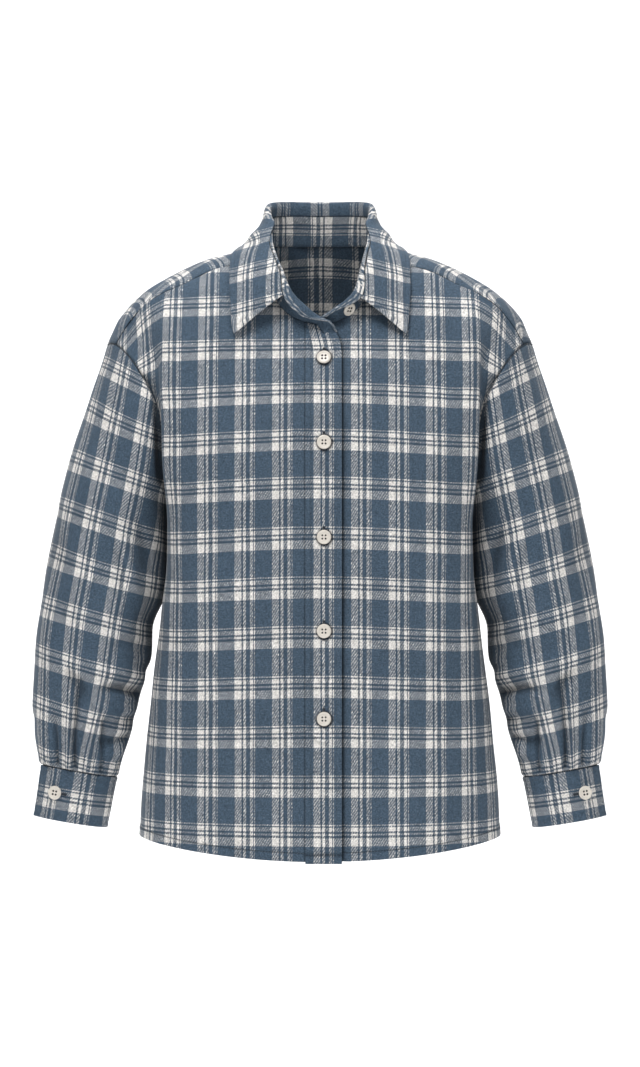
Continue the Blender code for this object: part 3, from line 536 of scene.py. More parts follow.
# Collar: neck seam, roll and the leaf's outer edge, from the front end to the centre back
collar = {
    # along, neck, roll, stand height, leaf edge, turn, radius. The first row is the right end, which
    # laps over the left
    "line": (
        (-0.06, (10, -77, -94.5), (16.7, -77.8, -87), 11, (-44, -83, -88), 205, 2.2),
        (-0.03, (3.5, -76.5, -84.5), (9.8, -82, -76.3), 14, (-52, -85, -89), 205, 2.6),
        (0.00, (-4, -70, -77), (-1.5, -80.5, -71.5), 22, (-60, -87, -90), 205, 3),
        (0.08, (-14, -71.5, -74.5), (-15.5, -84.5, -61.5), 30.5, (-76, -92, -92), 205, 3.5),
        (0.17, (-29, -70, -68.5), (-32, -82.5, -44), 36.5, (-91.5, -93, -90), 198, 4),
        (0.25, (-40, -64.5, -59), (-40.5, -75.5, -26), 37, (-95, -80.5, -62), 194, 4.5),
        (0.35, (-54, -54.5, -38), (-48.5, -61.5, -5), 36, (-96.5, -62.5, -32), 188, 5.5),
        (0.45, (-65, -41.5, -17), (-54, -42.5, 14), 35, (-96.5, -32, -3.5), 182, 6),
        (0.55, (-72.5, -21, 4), (-56, -18, 35.5), 34.5, (-93, 6, 9), 176, 6),
        (0.65, (-74.5, 3, 13.5), (-58, 6, 51.5), 34, (-87, 40, 2), 164, 6),
        (0.75, (-69, 27, 15.5), (-55.5, 28, 61), 34, (-72.5, 65.5, 3.8), 146, 6.5),
        (0.85, (-52, 46.5, 17), (-44, 45, 65), 34, (-51, 79, 7.5), 126, 7),
        (0.93, (-28, 58, 18), (-25, 54, 66), 34, (-25, 84, 9.5), 107, 7),
        (1.00, (0, 62, 18), (0, 57, 66), 34, (0, 85.5, 10), 90, 7),
    ),
    "endColumns": 15,
    "standRows": 16,
    "leafRows": 30,
    "leafColumns": 150,
    "leafStart": 0.17,
    "leafClose": 0.075,
    # height, how near the neck the fallen side lies, as a share
    "leafOutline": (
        (-12, 1), (0, 0.99), (5, 0.977), (12, 0.96), (18, 0.975), (25, 1), (31, 0.97), (36, 0.94), (45, 0.93),
        (54, 0.94), (62, 1),
    ),
    "leftRollFall": (-5, -1.5, -3.5),
    "leftStandLess": 9.0,
    "wall": 2.2,
    "seamGap": 0.3,
    "puff": 0.55,
    "baseLap": 1.3,
    "stitchIn": 5.5,
    "standPuff": 0.35,
    "standEdge": 4.5,
    "standStitchIn": {"t": 2.6, "b": 2.4},
}


def collarValues(along):
    along = np.atleast_1d(np.asarray(along, float))
    table = [tuple(np.hstack(row)) for row in collar["line"]]
    v = [column(table, n, along) for n in range(1, 13)]
    return np.stack(v[:3], -1), np.stack(v[3:6], -1), v[6], np.stack(v[7:10], -1), v[10], v[11]


def neckPoint(along):
    return collarValues(along)[0]


def collarLine(along, left):
    # section from the neck seam over the roll to the leaf's edge
    base, roll, stand, edge, turn, radius = (value[0] for value in collarValues(along))
    if left:
        roll = roll + np.array(collar["leftRollFall"]) * bell(along - 0.20, 0.10)
        stand = stand - collar["leftStandLess"] * bell(along - 0.05, 0.09)
    out = np.array([math.cos(math.radians(turn)), math.sin(math.radians(turn)), 0.0])
    up, steep = unit(roll - base), np.linalg.norm(roll - base)
    first = [base, base + up * steep * 0.4, roll - out * radius - up * radius * 0.4, roll]
    close = bell(along - 0.60, 0.13)
    lift = np.array([0.0, 0.0, 3.0 - 5.0 * close])
    hang = edge - (edge - roll) * (0.30 + 0.2 * close) + lift
    second = [roll, roll + out * radius * (1.6 - 0.3 * close), hang, edge]
    s = np.linspace(0, 1, 48, endpoint=False)[:, None]
    line = [
        (1 - s) ** 3 * b[0] + 3 * s * (1 - s) ** 2 * b[1] + 3 * s * s * (1 - s) * b[2] + s**3 * b[3]
        for b in (first, second)
    ]
    return np.concatenate(line + [edge[None]]), stand


# Front edge: where the placket lies, and how far the left front sinks under it
placket = {
    "left": -16.0,
    "right": 23.4,
    "start": -77.0,
    "wall": 2.2,
    "rows": 320,
    "columns": 40,
    "proud": 1.0,
    "puff": 0.45,
    "stitchIn": 6.2,
    "plainEdge": 7.5,
    "plainShare": 0.62,
    "plainFrom": (-128, -112),
    "leanFrom": (-118, -72),
    "turnFrom": (-70, -125),
    "lapUnder": 4.0,
    "leftFrontEdge": 18.0,
    # height, where the placket's right edge lies: it turns in to meet the stand
    "rightEdges": ((-130, 23.4), (-111, 23.3), (-100, 22), (-87, 16.7), (-77, 9.5)),
    "buttonShade": 7.5,
    "stripeLean": 7.0,
    "stripeShift": 6.9,
}


def setBack(grid):
    # the left edge's layers, where they pass under the placket
    g = grid.copy()
    near = g[..., 1] < -20
    under = 1 - ease(placket["right"] - 1, placket["right"] + 8, g[..., 0])
    g[..., 1] += (placket["wall"] + 1.6) * under * near
    return g


def mirrored(grid):
    return grid * np.array([-1.0, 1.0, 1.0])


def bothSides(half):
    return np.concatenate([half[:, :0:-1], mirrored(half)], axis=1)


def easeJoin(grid, row, first):
    # the roll beside the armhole runs on smoothly into the side below it
    weight = bell(np.arange(1, len(grid) - 1) - row, 13.0)[:, None, None]
    weight = weight * ease(first - 6, first + 6, np.arange(grid.shape[1]))[None, :, None]
    weight[:, -1] = 0
    for _ in range(70):
        grid[1:-1] += weight * ((grid[:-2] + grid[2:]) / 2 - grid[1:-1])
    return grid


# How many rows and columns each body panel has
detail = {
    "face": 54, "side": 40, "upper": 78, "lower": 128, "backFace": 60, "backSide": 36, "backUpper": 64,
    "underPlacket": 10, "edgeFade": 16.0,
}


def skirtRows(turns, faceX, sideShares, widen, sag):
    # level rows from the chest down to the hem, even over the face and then round the side
    even = (faceX - faceX[0]) / (faceX[-1] - faceX[0])
    rows = []
    for h in np.linspace(0, 1, detail["lower"] + 1)[1:]:
        z = bodyTop + (body["hemMiddle"] - bodyTop) * h
        dense = bodySection(turns, z)
        length = lengths(dense)
        start, reach = np.interp([abs(faceX[0]), widen * h - faceX[-1]], -dense[:, 0], length)
        start = math.copysign(start, -faceX[0])
        at = np.concatenate([start + (reach - start) * even, reach + (length[-1] - reach) * sideShares])
        turn = np.interp(np.abs(at), length, turns)
        point = bodySection(turn, z)
        point[:, 0] *= np.where(at < 0, -1, 1)
        turn = np.radians(turn)
        point[:, 2] += (body["hemRise"] * np.sin(turn) ** body["hemRound"] - sag * np.cos(turn) ** 2) * h
        rows.append(point)
    return rows


def frontGrid(innerEdge, faceCount):
    neckPart = neckPoint(np.linspace(0.0, 0.45, 60))
    neckPart = neckPart[neckPart[:, 0] > -71.0]
    seam = [(-x, -y, z) for x, y, z in body["yokeFront"]] + [tuple(armholePoint(body["yokeFrontAngle"]))]
    top = np.concatenate([neckPart, smoothLine(seam, 8)])
    faceX = np.linspace(innerEdge, -body["faceEdge"], faceCount + 1)
    # one column stands on the corner where neck and yoke meet
    faceX[np.argmin(abs(faceX - body["neckCorner"]))] = body["neckCorner"]
    topY, topZ = (np.interp(-faceX, -top[:, 0], top[:, n]) for n in (1, 2))
    shares = np.linspace(0, 1, detail["side"] + 1)[1:]
    rows = []
    for t in np.linspace(0, 1, detail["upper"] + 1):
        z = topZ + (bodyTop - topZ) * t
        y = chestDepth(faceX, z) + (topY - chestDepth(faceX, topZ)) * (1 - t) ** 3
        face = np.stack([faceX, y, z], axis=1)
        angle, rollX, rollY, valleyX, valleyY, rollDrop, valleyDrop = (
            float(column(body["side"], n, t)) for n in range(1, 8)
        )
        r = face[-1]
        if t == 0:
            line = np.concatenate([[r], top[top[:, 0] <= -body["faceEdge"] - 0.01]])
        else:
            roll = np.array([rollX, rollY, r[2] - rollDrop])
            valley = np.array([valleyX, valleyY, r[2] - valleyDrop])
            before = r + unit(face[-2] - r) * 18.5
            line = smoothLine([before, r, roll, valley, armholePoint(angle)], 16)[16:]
        rows.append(np.concatenate([face, resample(line, shares)]))
    rows += skirtRows(np.linspace(0, 90, 181), faceX, shares, 16, 0.0)
    return easeJoin(np.array(rows), detail["upper"], faceCount)


def backGrid():
    edgeX = -body["backFaceEdge"]
    faceX = np.linspace(0, edgeX, detail["backFace"] + 1)
    seam = [(-x, y, z) for x, y, z in body["yokeBack"]] + [tuple(armholePoint(body["yokeBackAngle"]))]
    seam = smoothLine(seam, 10)
    seamY, seamZ = (np.interp(-faceX, -seam[:, 0], seam[:, n]) for n in (1, 2))
    shares = np.linspace(0, 1, detail["backSide"] + 1)[1:]
    turns = np.linspace(180, 90, 181)
    rim = bodySection(turns, bodyTop)
    low = np.interp(-faceX, -rim[:, 0], rim[:, 1])
    rows = []
    for t in np.linspace(0, 1, detail["backUpper"] + 1):
        z = seamZ + (bodyTop - seamZ) * t
        depth = through([0, 0.3, 0.6, 1.0], [101.0, 106.5, 107.0, 104.0], t)
        y = depth * (seamY / 101.0) * (1 - ease(0, 1, t)) + low * depth / 104.0 * ease(0, 1, t)
        face = np.stack([faceX, y, z], axis=1)
        r = face[-1]
        edge = armholePoint(body["yokeBackAngle"] + (-180 - body["yokeBackAngle"]) * t)
        if t in (0, 1):
            line = rim if t else seam
            line = np.concatenate([[r], line[line[:, 0] <= edgeX - 0.01]])
        else:
            middle = r * 0.42 + edge * 0.58 + np.array([-7.0 * t, 9.0 * t + 5.0 * math.sin(math.pi * t), 0.0])
            before = r + unit(face[-2] - r) * 14.0
            line = smoothLine([before, r, middle, edge], 16)[16:]
        rows.append(np.concatenate([face, resample(line, shares)]))
    return np.array(rows + skirtRows(turns, faceX, shares, 14, 4.0))


def yokeGrid(neckCount, frontRow, backRow, rowCount):
    neckPart = neckPoint(np.linspace(1.0, 0.0, 240))
    neckPart = neckPart[(neckPart[:, 0] > -75.5) & (neckPart[:, 1] > -31.0)]
    front = frontRow[frontRow[:, 0] <= body["neckCorner"] + 0.01]
    neckPart = np.concatenate([neckPart, front[:1]])
    top = np.concatenate([resample(neckPart, np.linspace(0, 1, neckCount + 1)), front[1:]])
    bottom = resample(backRow, np.linspace(0, 1, len(top)))
    rows = []
    for b in np.linspace(0, 1, rowCount + 1):
        eased = 1 - (1 - b) ** 1.45
        x = top[:, 0] + (bottom[:, 0] - top[:, 0]) * b
        y = top[:, 1] + (bottom[:, 1] - top[:, 1]) * eased
        z = shoulderHeight(x, y)
        z = z + (top[:, 2] - shoulderHeight(top[:, 0], top[:, 1])) * (1 - b) ** 3
        z = z + (bottom[:, 2] - shoulderHeight(bottom[:, 0], bottom[:, 1])) * b**3
        row = np.stack([x, y, z], axis=1)
        edge = armholePoint(body["yokeFrontAngle"] + (body["yokeBackAngle"] - body["yokeFrontAngle"]) * eased)
        pull = (np.arange(len(x)) / (len(x) - 1)) ** 7
        rows.append(row + (edge - row[-1]) * pull[:, None])
    return np.array(rows)


# Sleeve: sections below the armhole, pleats above the cuff
sleeve = {
    # x, y, z of the middle, half width, half depth
    "sections": (
        (-229, 2, -286, 59.5, 72), (-233.5, 2, -320, 62.5, 71), (-238.5, 0, -365, 65, 69),
        (-244.8, -3, -398, 63.2, 66), (-250.2, -7, -431, 62, 62), (-256.2, -13, -486, 58.5, 55),
        (-260.2, -17, -519, 53, 49), (-262.6, -19, -545, 46.5, 41), (-263.7, -20, -561.6, 42.9, 33.6),
    ),
    "pleats": ((36, 13, 3.2), (66, 15, 3.8), (104, 14, 3)),  # angle, width, height
    "wall": 1.5,
    "seamGap": 0.3,
    "count": 150,
    "capRows": 60,
    "lowerRows": 120,
}
cuff = {
    "height": 55.8,
    "halfWidth": 42.6,
    "halfDepth": 33.0,
    "top": (-263.8, -20, -561.9),
    "axis": (-0.168, -0.03, -0.985),
    "edgeAngle": 18.0,
    "lap": 24.0,
    "count": 190,
    "rows": 30,
    "wall": 2.2,
    "puff": 0.5,
    "stitchIn": 5.0,
}


def ringFrame(axis):
    out = np.array([-1.0, 0.0, 0.0])
    out = unit(out - axis * (out @ axis))
    depth = np.cross(axis, out)
    return out, depth if depth[1] < 0 else -depth


def sleeveGrid(angles):
    # rings from the armhole to the cuff, each starting under the arm and going round by the back
    end = len(sleeve["sections"]) - 1.0
    table = [(float(k),) + row for k, row in enumerate(sleeve["sections"])]
    last = unit(np.array(cuff["axis"]))
    a = np.radians(angles)

    def centreAt(at):
        return np.stack([column(table, k, at) for k in (1, 2, 3)], -1)

    def section(at):
        axis = unit(centreAt(min(at + 0.3, end)) - centreAt(max(at - 0.3, 0.0)))
        mix = float(ease(end - 1.5, end, at))
        axis = unit(axis * (1 - mix) + last * mix)
        out, depth = ringFrame(axis)
        near = float(ease(end - 3.2, end - 0.6, at))
        swell = np.zeros(len(a))
        for angle, wide, high in sleeve["pleats"]:
            off = (angles - angle + 180.0) % 360.0 - 180.0
            swell += high * near * (bell(off, wide) - 0.45 * bell(off - wide * 1.5, wide))
        grown = 1 + swell * (1 - float(ease(end - 0.45, end, at))) / 48.0
        width = (float(column(table, 4, at)) * np.cos(a) * grown)[:, None]
        reach = (float(column(table, 5, at)) * np.sin(a) * grown)[:, None]
        return centreAt(at) + width * out + reach * depth, axis

    ring = armholePoint(angles)
    first, axis = section(0.0)
    under = (0.5 - 0.5 * np.cos(a))[:, None]
    leaving = np.array([-0.9222, 0.0, -0.3867]) * (26 + 30 * np.abs(np.sin(a)))[:, None] * under
    leaving = leaving + np.array([-0.255, 0.0, -0.967]) * 110 * (1 - under)
    leaving = leaving + np.array([0.0, -1.0, 0.0]) * (14 * np.sin(a) * np.abs(np.sin(a)))[:, None]
    arriving = axis * np.linalg.norm(first - ring, axis=1)[:, None] * 0.9
    rows = [hermite(s, ring, first, leaving, arriving) for s in np.linspace(0, 1, sleeve["capRows"] + 1)]
    return np.array(rows + [section(at)[0] for at in np.linspace(0, end, sleeve["lowerRows"] + 1)[1:]])


def cuffGrid(angles, rowCount):
    # a band whose outer end laps over the inner end
    axis = unit(np.array(cuff["axis"]))
    out, depth = ringFrame(axis)
    a = np.radians(angles)
    inset = 3.1 * ease(270, 372, angles)
    rows = []
    for s in np.linspace(0, 1, rowCount + 1):
        centre = np.array(cuff["top"]) + axis * cuff["height"] * s
        wide = (cuff["halfWidth"] - 1.2 * s - inset) * np.cos(a)
        deep = (cuff["halfDepth"] - 0.6 * s - inset) * np.sin(a)
        rows.append(centre + wide[:, None] * out + deep[:, None] * depth)
    return np.array(rows)


def collarGrids(left):
    stand, leaf = [], []
    side = np.array([-1.0 if left else 1.0, 1.0, 1.0])
    start = 0 if left else collar["line"][0][0]
    early = np.linspace(start, collar["leafStart"], collar["endColumns"] + 1)[:-1]
    for q in np.concatenate([early, np.linspace(collar["leafStart"], 1, collar["leafColumns"] + 1)]):
        line, height = collarLine(q, left)
        points = pointsAt(line, np.linspace(0.5, height, collar["standRows"] + 1))
        points[0] += unit(points[0] - points[1]) * 2.0
        stand.append(setBack(points * side) * side if left else points)
        if q >= collar["leafStart"]:
            fall = np.linspace(height + collar["seamGap"], lengths(line)[-1], collar["leafRows"] + 1)
            leaf.append(pointsAt(line, fall))
    return np.array(stand).transpose(1, 0, 2), np.array(leaf).transpose(1, 0, 2)


# Working a panel: which way it faces, how far each point is from an edge, folds, seams
working = {
    "puckerAt": 5.0,
    "puckerWide": 6.5,
    "grooveDepth": 0.38,
    "grooveWide": 0.9,
    "waveHeight": 0.35,
    "valleyShade": 0.13,
    "roundEdge": 0.7,
    # degrees
    "roundAbove": 55,
    "smoothBelow": 42,
}


def faceDirections(grid, middle=None, inward=False):
    n = unit(np.cross(np.gradient(grid, axis=1), np.gradient(grid, axis=0)))
    centre = grid.reshape(-1, 3).mean(axis=0) if middle is None else np.array(middle, float)
    away = ((grid - centre) * n).sum()
    return -n if (away < 0) != inward else n


def lifted(grid, normals, lift):
    return grid + normals * lift[..., None]


def edgeDistance(grid, edge):
    # how far each point lies from an edge, along its own row or column. Edges: t, b, l, r
    axis = 0 if edge in "tb" else 1
    step = np.linalg.norm(np.diff(grid, axis=axis), axis=2)
    zero = np.zeros((1, grid.shape[1])) if axis == 0 else np.zeros((grid.shape[0], 1))
    length = np.concatenate([zero, np.cumsum(step, axis=axis)], axis=axis)
    if edge in "br":
        length = (length[-1:] if axis == 0 else length[:, -1:]) - length
    return length


def ripple(at, seed):
    # an uneven wave along a seam, the same every time
    return (
        math.sin(seed * 1.7) * np.sin(at / 7.3 + seed) + 0.8 * np.sin(at / 11.9 + 2.1 * seed)
        + 0.6 * np.sin(at / 4.9 + 3.3 * seed)
    )


sideAxes = {"front": (0, 1, -1), "back": (0, 1, 1), "outer": (1, 0, -1), "inner": (1, 0, 1)}


def foldDepth(grid, normals, folds):
    # listed folds: side, from x z, to x z, bow, width, height (a valley if below nought)
    total = np.zeros(grid.shape[:2])
    for side, x0, z0, x1, z1, bow, width, height in folds:
        axis, facing, sign = sideAxes[side]
        place = np.stack([grid[..., axis] - x0, grid[..., 2] - z0], -1)
        run = np.array([x1 - x0, z1 - z0], float)
        length = np.linalg.norm(run)
        run /= length
        s = place @ run / length
        off = place @ np.array([-run[1], run[0]]) - bow * 4 * s * (1 - s)
        wide = width * (0.75 + 0.5 * np.clip(s, 0, 1))
        shape = bell(off, wide) - 0.30 * bell(off - 1.8 * wide, 1.3 * wide)
        taper = ease(-0.12, 0.35, s) * (1 - ease(0.6, 1.12, s))
        total += height * shape * taper * ease(0.0, 0.45, normals[..., facing] * sign)
    return total


def softWaves(grid, seed, size, height):
    # the gentle unevenness of brushed cloth
    x, y, z = (grid[..., k] / size for k in range(3))
    wave = np.sin(1.3 * x + 0.9 * z + seed) * np.sin(0.8 * y - 1.1 * z + 2.3 * seed)
    wave = wave + 0.6 * np.sin(2.3 * x - 1.7 * z + 1.3 * seed) * np.sin(1.9 * y + 0.7 * x + seed)
    return height * wave


def seamDip(grid, edges):
    # each seam edge: edge, dip, width, pucker, seed. It turns down and puckers unevenly
    total = np.zeros(grid.shape[:2])
    for edge, dip, width, pucker, seed in edges:
        d = edgeDistance(grid, edge)
        run = edgeDistance(grid, "l" if edge in "tb" else "t")
        drawn = bell(d - working["puckerAt"], working["puckerWide"])
        total += pucker * ripple(run, seed) * drawn - dip * bell(d, width)
    return total


def bandPuff(grid, edges, puff, stitchIn):
    # a doubled band: full between its edge and the stitches, drawn in along them
    total = np.zeros(grid.shape[:2])
    drawn = np.zeros(grid.shape[:2])
    for edge in edges:
        d = edgeDistance(grid, edge)
        total = np.maximum(total, puff * np.sin(np.clip(d / stitchIn, 0, 1) * math.pi) * (d < stitchIn))
        drawn = np.maximum(drawn, working["grooveDepth"] * bell(d - stitchIn, working["grooveWide"]))
    return total - drawn


def trim(grid, edges, gap):
    # an edge drawn back by the gap along the cloth, or let out where the gap is below nought
    grid = grid.copy()
    for edge in edges:
        lines = grid.swapaxes(0, 1) if edge in "lr" else grid
        outer, inner = (-1, -2) if edge in "br" else (0, 1)
        lines[outer] += unit(lines[inner] - lines[outer]) * gap
    return grid


closeRows = {"seam": (0.14, 0.30, 0.50, 0.75, 1.30, 1.65), "hem": (2.55, 2.78, 2.92, 3.08, 3.22, 3.45)}


def refine(array, edges):
    # more rows or columns close to a seam, or to a hem's stitches (h), so that the groove is drawn sharply
    for edge in edges:
        axis = 0 if edge in "tbh" else 1
        count = array.shape[axis]
        near = np.array(closeRows["hem" if edge == "h" else "seam"])
        at = np.sort(np.concatenate([np.arange(count), near if edge in "tl" else count - 1 - near]))
        low = np.minimum(at.astype(int), count - 2)
        share = (at - low).reshape((-1, 1, 1) if axis == 0 else (1, -1, 1))
        array = np.take(array, low, axis) * (1 - share) + np.take(array, low + 1, axis) * share
    return array


def foldShade(lift):
    # painted shade: the deeper a valley, the darker the cloth's colour is painted
    return check["seamShadeWidth"] * np.sqrt(-np.log(np.clip(-lift * working["valleyShade"], 0.002, 0.6)))


def hemStitchShade(grid):
    # painted shade along the hem's stitches
    return 0.18 + np.abs(edgeDistance(grid, "b") - hemBand["depth"] + 0.3) * 0.72


def seamDistance(grid, edges):
    # how far each point lies from the nearest of these edges, as far as it counts
    return np.minimum.reduce([np.full(grid.shape[:2], 60.0)] + [edgeDistance(grid, edge) for edge in edges])


def clothPiece(
    name, node, grid, cut, wall, middle, ring=False, inward=False, band=False, seams="", paintedShade=None
):
    # a panel of cloth, thickened away from the side that shows. cut is its place on the check, in repeats,
    # paintedShade says how near each point is to a line of painted shade, and a band has rounded edges
    near = seamDistance(grid, seams)
    near = near if paintedShade is None else np.minimum(near, paintedShade)
    points = grid[:, :-1] if ring else grid
    wide = points.shape[1]
    row, place = np.indices((len(grid) - 1, grid.shape[1] - 1))
    around = ((0, 0), (0, 1), (1, 1), (1, 0))
    faces = np.stack([(row + r) * wide + (place + c) % wide for r, c in around], -1).reshape(-1, 4)
    piece = meshPiece(name, points.reshape(-1, 3), faces.tolist(), checkCloth)
    mesh = piece.data
    # the seams layer carries the painted shade: each point's distance to a seam or another line of painted
    # shade
    for layer, values in (("cut", cut), ("seams", np.stack([near, near], -1))):
        corners = np.stack([values[row + r, place + c] for r, c in around], 2)
        mesh.uv_layers.new(name=layer).data.foreach_set("uv", corners.astype(np.float32).ravel())
    mesh.update()
    centre = Vector(grid.reshape(-1, 3).mean(axis=0) if middle is None else middle) * mm
    away = sum(face.normal.dot((face.center - centre).normalized()) * face.area for face in mesh.polygons)
    if (away < 0) != inward:
        mesh.flip_normals()
    thick = piece.modifiers.new("Wall", "SOLIDIFY")
    thick.thickness = wall * mm
    thick.offset = -1.0
    thick.use_even_offset = False
    thick.use_quality_normals = True
    selectOnly(piece)
    bpy.ops.object.modifier_apply(modifier="Wall")
    if band:
        bevel = piece.modifiers.new("Round", "BEVEL")
        bevel.width = working["roundEdge"] * mm
        bevel.segments = 3
        bevel.limit_method = "ANGLE"
        bevel.angle_limit = math.radians(working["roundAbove"])
        bpy.ops.object.modifier_apply(modifier="Round")
    bpy.ops.object.shade_smooth_by_angle(angle=math.radians(working["smoothBelow"]))
    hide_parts(node)
    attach(piece, "root")


# Stitches: small joined loops of thread
stitch = {"pitch": 3.1, "length": 2.3, "radius": 0.24, "sink": 0.02, "seamIn": 2.3}
buttonhole = {
    "length": 19.6, "reach": 1.35, "pitch": 0.66, "radius": 0.30, "bar": 1.5, "barRadius": 0.42,
    "slitShadeRadius": 0.42,
}


def edgeLine(grid, values, edge, distance):
    # values along the line that runs at a set distance inside an edge
    d = edgeDistance(grid, edge)
    if edge in "lr":
        d, values = d.T, values.transpose(1, 0, 2)
    if edge in "br":
        d, values = d[::-1], values[::-1]
    return np.array([
        [np.interp(distance, d[:, c], values[:, c, k]) for k in range(3)] for c in range(values.shape[1])
    ])


def edgeStitches(store, grid, edge, distance, middle, start, end, inward=False, columns=slice(None)):
    # a row of stitches inside an edge, on the side of the cloth that shows
    normals = faceDirections(grid, middle, inward)
    line, outward = (edgeLine(grid, values, edge, distance)[columns] for values in (grid, normals))
    length = lengths(line)
    count = int((length[-1] + end - start) / stitch["pitch"])
    middles = start + (np.arange(count) + 0.5) * stitch["pitch"]
    before, after = pointsAt(line, middles - 0.3), pointsAt(line, middles + 0.3)
    for k in range(count):
        at = (before[k] + after[k]) / 2
        up = np.array([np.interp(middles[k], length, outward[:, n]) for n in range(3)])
        half = unit(after[k] - before[k]) * stitch["length"] / 2 * (0.94 + 0.06 * math.sin(k * 2.4))
        loop(store, at - half, at + half, up, stitch["radius"], stitch["sink"])


def ringAt(centre, first, second, radius, sides):
    turns = [2 * math.pi * n / sides for n in range(sides)]
    return [centre + (first * math.cos(a) + second * math.sin(a)) * radius for a in turns]


def addTube(store, rings):
    # rings of points, joined and closed at both ends
    base, sides = len(store["points"]), len(rings[0])
    store["points"] += [point for ring in rings for point in ring]
    for a in range(base, base + (len(rings) - 1) * sides, sides):
        for n in range(sides):
            b = (n + 1) % sides
            store["faces"].append((a + n, a + b, a + b + sides, a + n + sides))
    last = len(store["points"]) - sides
    store["faces"] += [tuple(reversed(range(base, base + sides))), tuple(range(last, last + sides))]


def loop(store, start, end, up, radius, lift):
    # one short thread lying from start to end, its ends sunk in the cloth
    up = unit(up)
    across = np.cross(up, unit(end - start))
    addTube(store, [
        ringAt(start + (end - start) * s + up * (sunk * radius + lift), across, up, radius * share, 6)
        for s, share, sunk in ((0.0, 0.4, -0.5), (0.22, 1.0, 0.0), (0.78, 1.0, 0.0), (1.0, 0.4, -0.5))
    ])


def knotHoleShade(store, at, first, second, out):
    # knotted thread that fills one hole of a button, near-black so that it also paints the hole's shade
    levels = ((-2.0, 1.0), (sewing["knotShadeHeight"] - 0.1, 1.0), (sewing["knotShadeHeight"], 0.7))
    addTube(store, [
        ringAt(at + out * level, first, second, sewing["knotShadeRadius"] * share, 8) for level, share in levels
    ])


def workButtonhole(store, slitShade, at, up, along):
    # two close rows of thread beside a slit, with a bar at each end. The slit's opening is a dark tube of
    # painted shade
    up = unit(up)
    along = unit(along - up * (along @ up))
    across = np.cross(up, along)
    half = buttonhole["length"] / 2
    for k in range(int(buttonhole["length"] / buttonhole["pitch"])):
        place = at + along * (-half + (k + 0.5) * buttonhole["pitch"])
        reach = buttonhole["reach"] + 0.12 * math.sin(k * 2.1)
        for side in (-across, across):
            loop(store, place + side * 0.28, place + side * reach, up, buttonhole["radius"], 0.08)
    bar = across * buttonhole["bar"]
    for end in (-half, half):
        for step in (-0.5, 0.0, 0.5):
            place = at + along * (end + step)
            loop(store, place - bar, place + bar, up, buttonhole["barRadius"], 0.16)
    # painted shade: a dark tube along the slit's opening
    opening = along * (half - 0.6)
    loop(slitShade, at - opening, at + opening, up, buttonhole["slitShadeRadius"], 0.06)


def stitchObject(name, store, thread):
    piece = meshPiece(name, store["points"], store["faces"], thread)
    selectOnly(piece)
    bpy.ops.object.mode_set(mode="EDIT")
    bpy.ops.mesh.select_all(action="SELECT")
    bpy.ops.mesh.normals_make_consistent(inside=False)
    bpy.ops.object.mode_set(mode="OBJECT")
    piece.data.shade_smooth()
    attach(piece, "root")


def newStore():
    return {"points": [], "faces": []}


# The check's place on the body: heights where the wide stripe across lies, at the middle of the front
bodyCheck = {
    "stripeHeights": (
        116, 76, 34, -14.5, -63.4, -111.2, -159.8, -210.2, -261.1, -314.7, -367.2, -419.6, -472.7, -525.2,
        -578.2, -630.1, -682.5,
    ),
    "firstStripe": -4,
    "wideShare": 0.3613,
    # height, how far the stripe hangs at the front's edge
    "droop": (
        (-700, -1), (-650, -1), (-580, 0), (-500, 4), (-410, 5), (-250, 6), (-160, 5.5), (-110, 3),
        (-60, 2.5), (100, 3),
    ),
    "rightShift": 50.9,
    "leftShift": -32.9,
    "backShift": 13.9,
}


def acrossReach(grid, sign, flatEdge):
    # distance from the centre line: straight across the face, then along the cloth round the side
    reach = np.empty(grid.shape[:2])
    for r, row in enumerate(grid):
        straight = row[:, 0] * sign
        length = lengths(row)
        edge = np.interp(flatEdge, straight[: np.argmax(straight) + 1], length[: np.argmax(straight) + 1])
        reach[r] = np.where(length <= edge, straight, flatEdge + length - edge)
    return reach


def bodyDown(height, reach):
    # the check's repeat at each height: the stripes hang a little toward the front's side
    stripes = [(h, k + bodyCheck["firstStripe"]) for k, h in enumerate(bodyCheck["stripeHeights"])]
    toSide = np.clip((np.minimum(reach, body["faceEdge"]) - 20) / 126, 0, 1) ** 1.3
    hang = column(bodyCheck["droop"], 1, height) * toSide
    return column(stripes, 1, height + hang) + bodyCheck["wideShare"]


def frontCut(grid, sign, shift, faceCount):
    reach = acrossReach(grid, sign, body["faceEdge"])
    height = grid[..., 2].copy()
    upper = height[: detail["upper"] + 1]
    t = np.linspace(0, 1, len(upper))
    own = ease(0.75, 1.0, t)[:, None]
    onRoll = upper[:, faceCount : faceCount + 1] - column(body["side"], 6, t)[:, None]
    upper[:, faceCount:] = np.maximum(upper[:, faceCount:], onRoll) * (1 - own) + upper[:, faceCount:] * own
    return np.stack([(sign * reach + shift) / check["acrossRepeat"], bodyDown(height, reach)], -1)
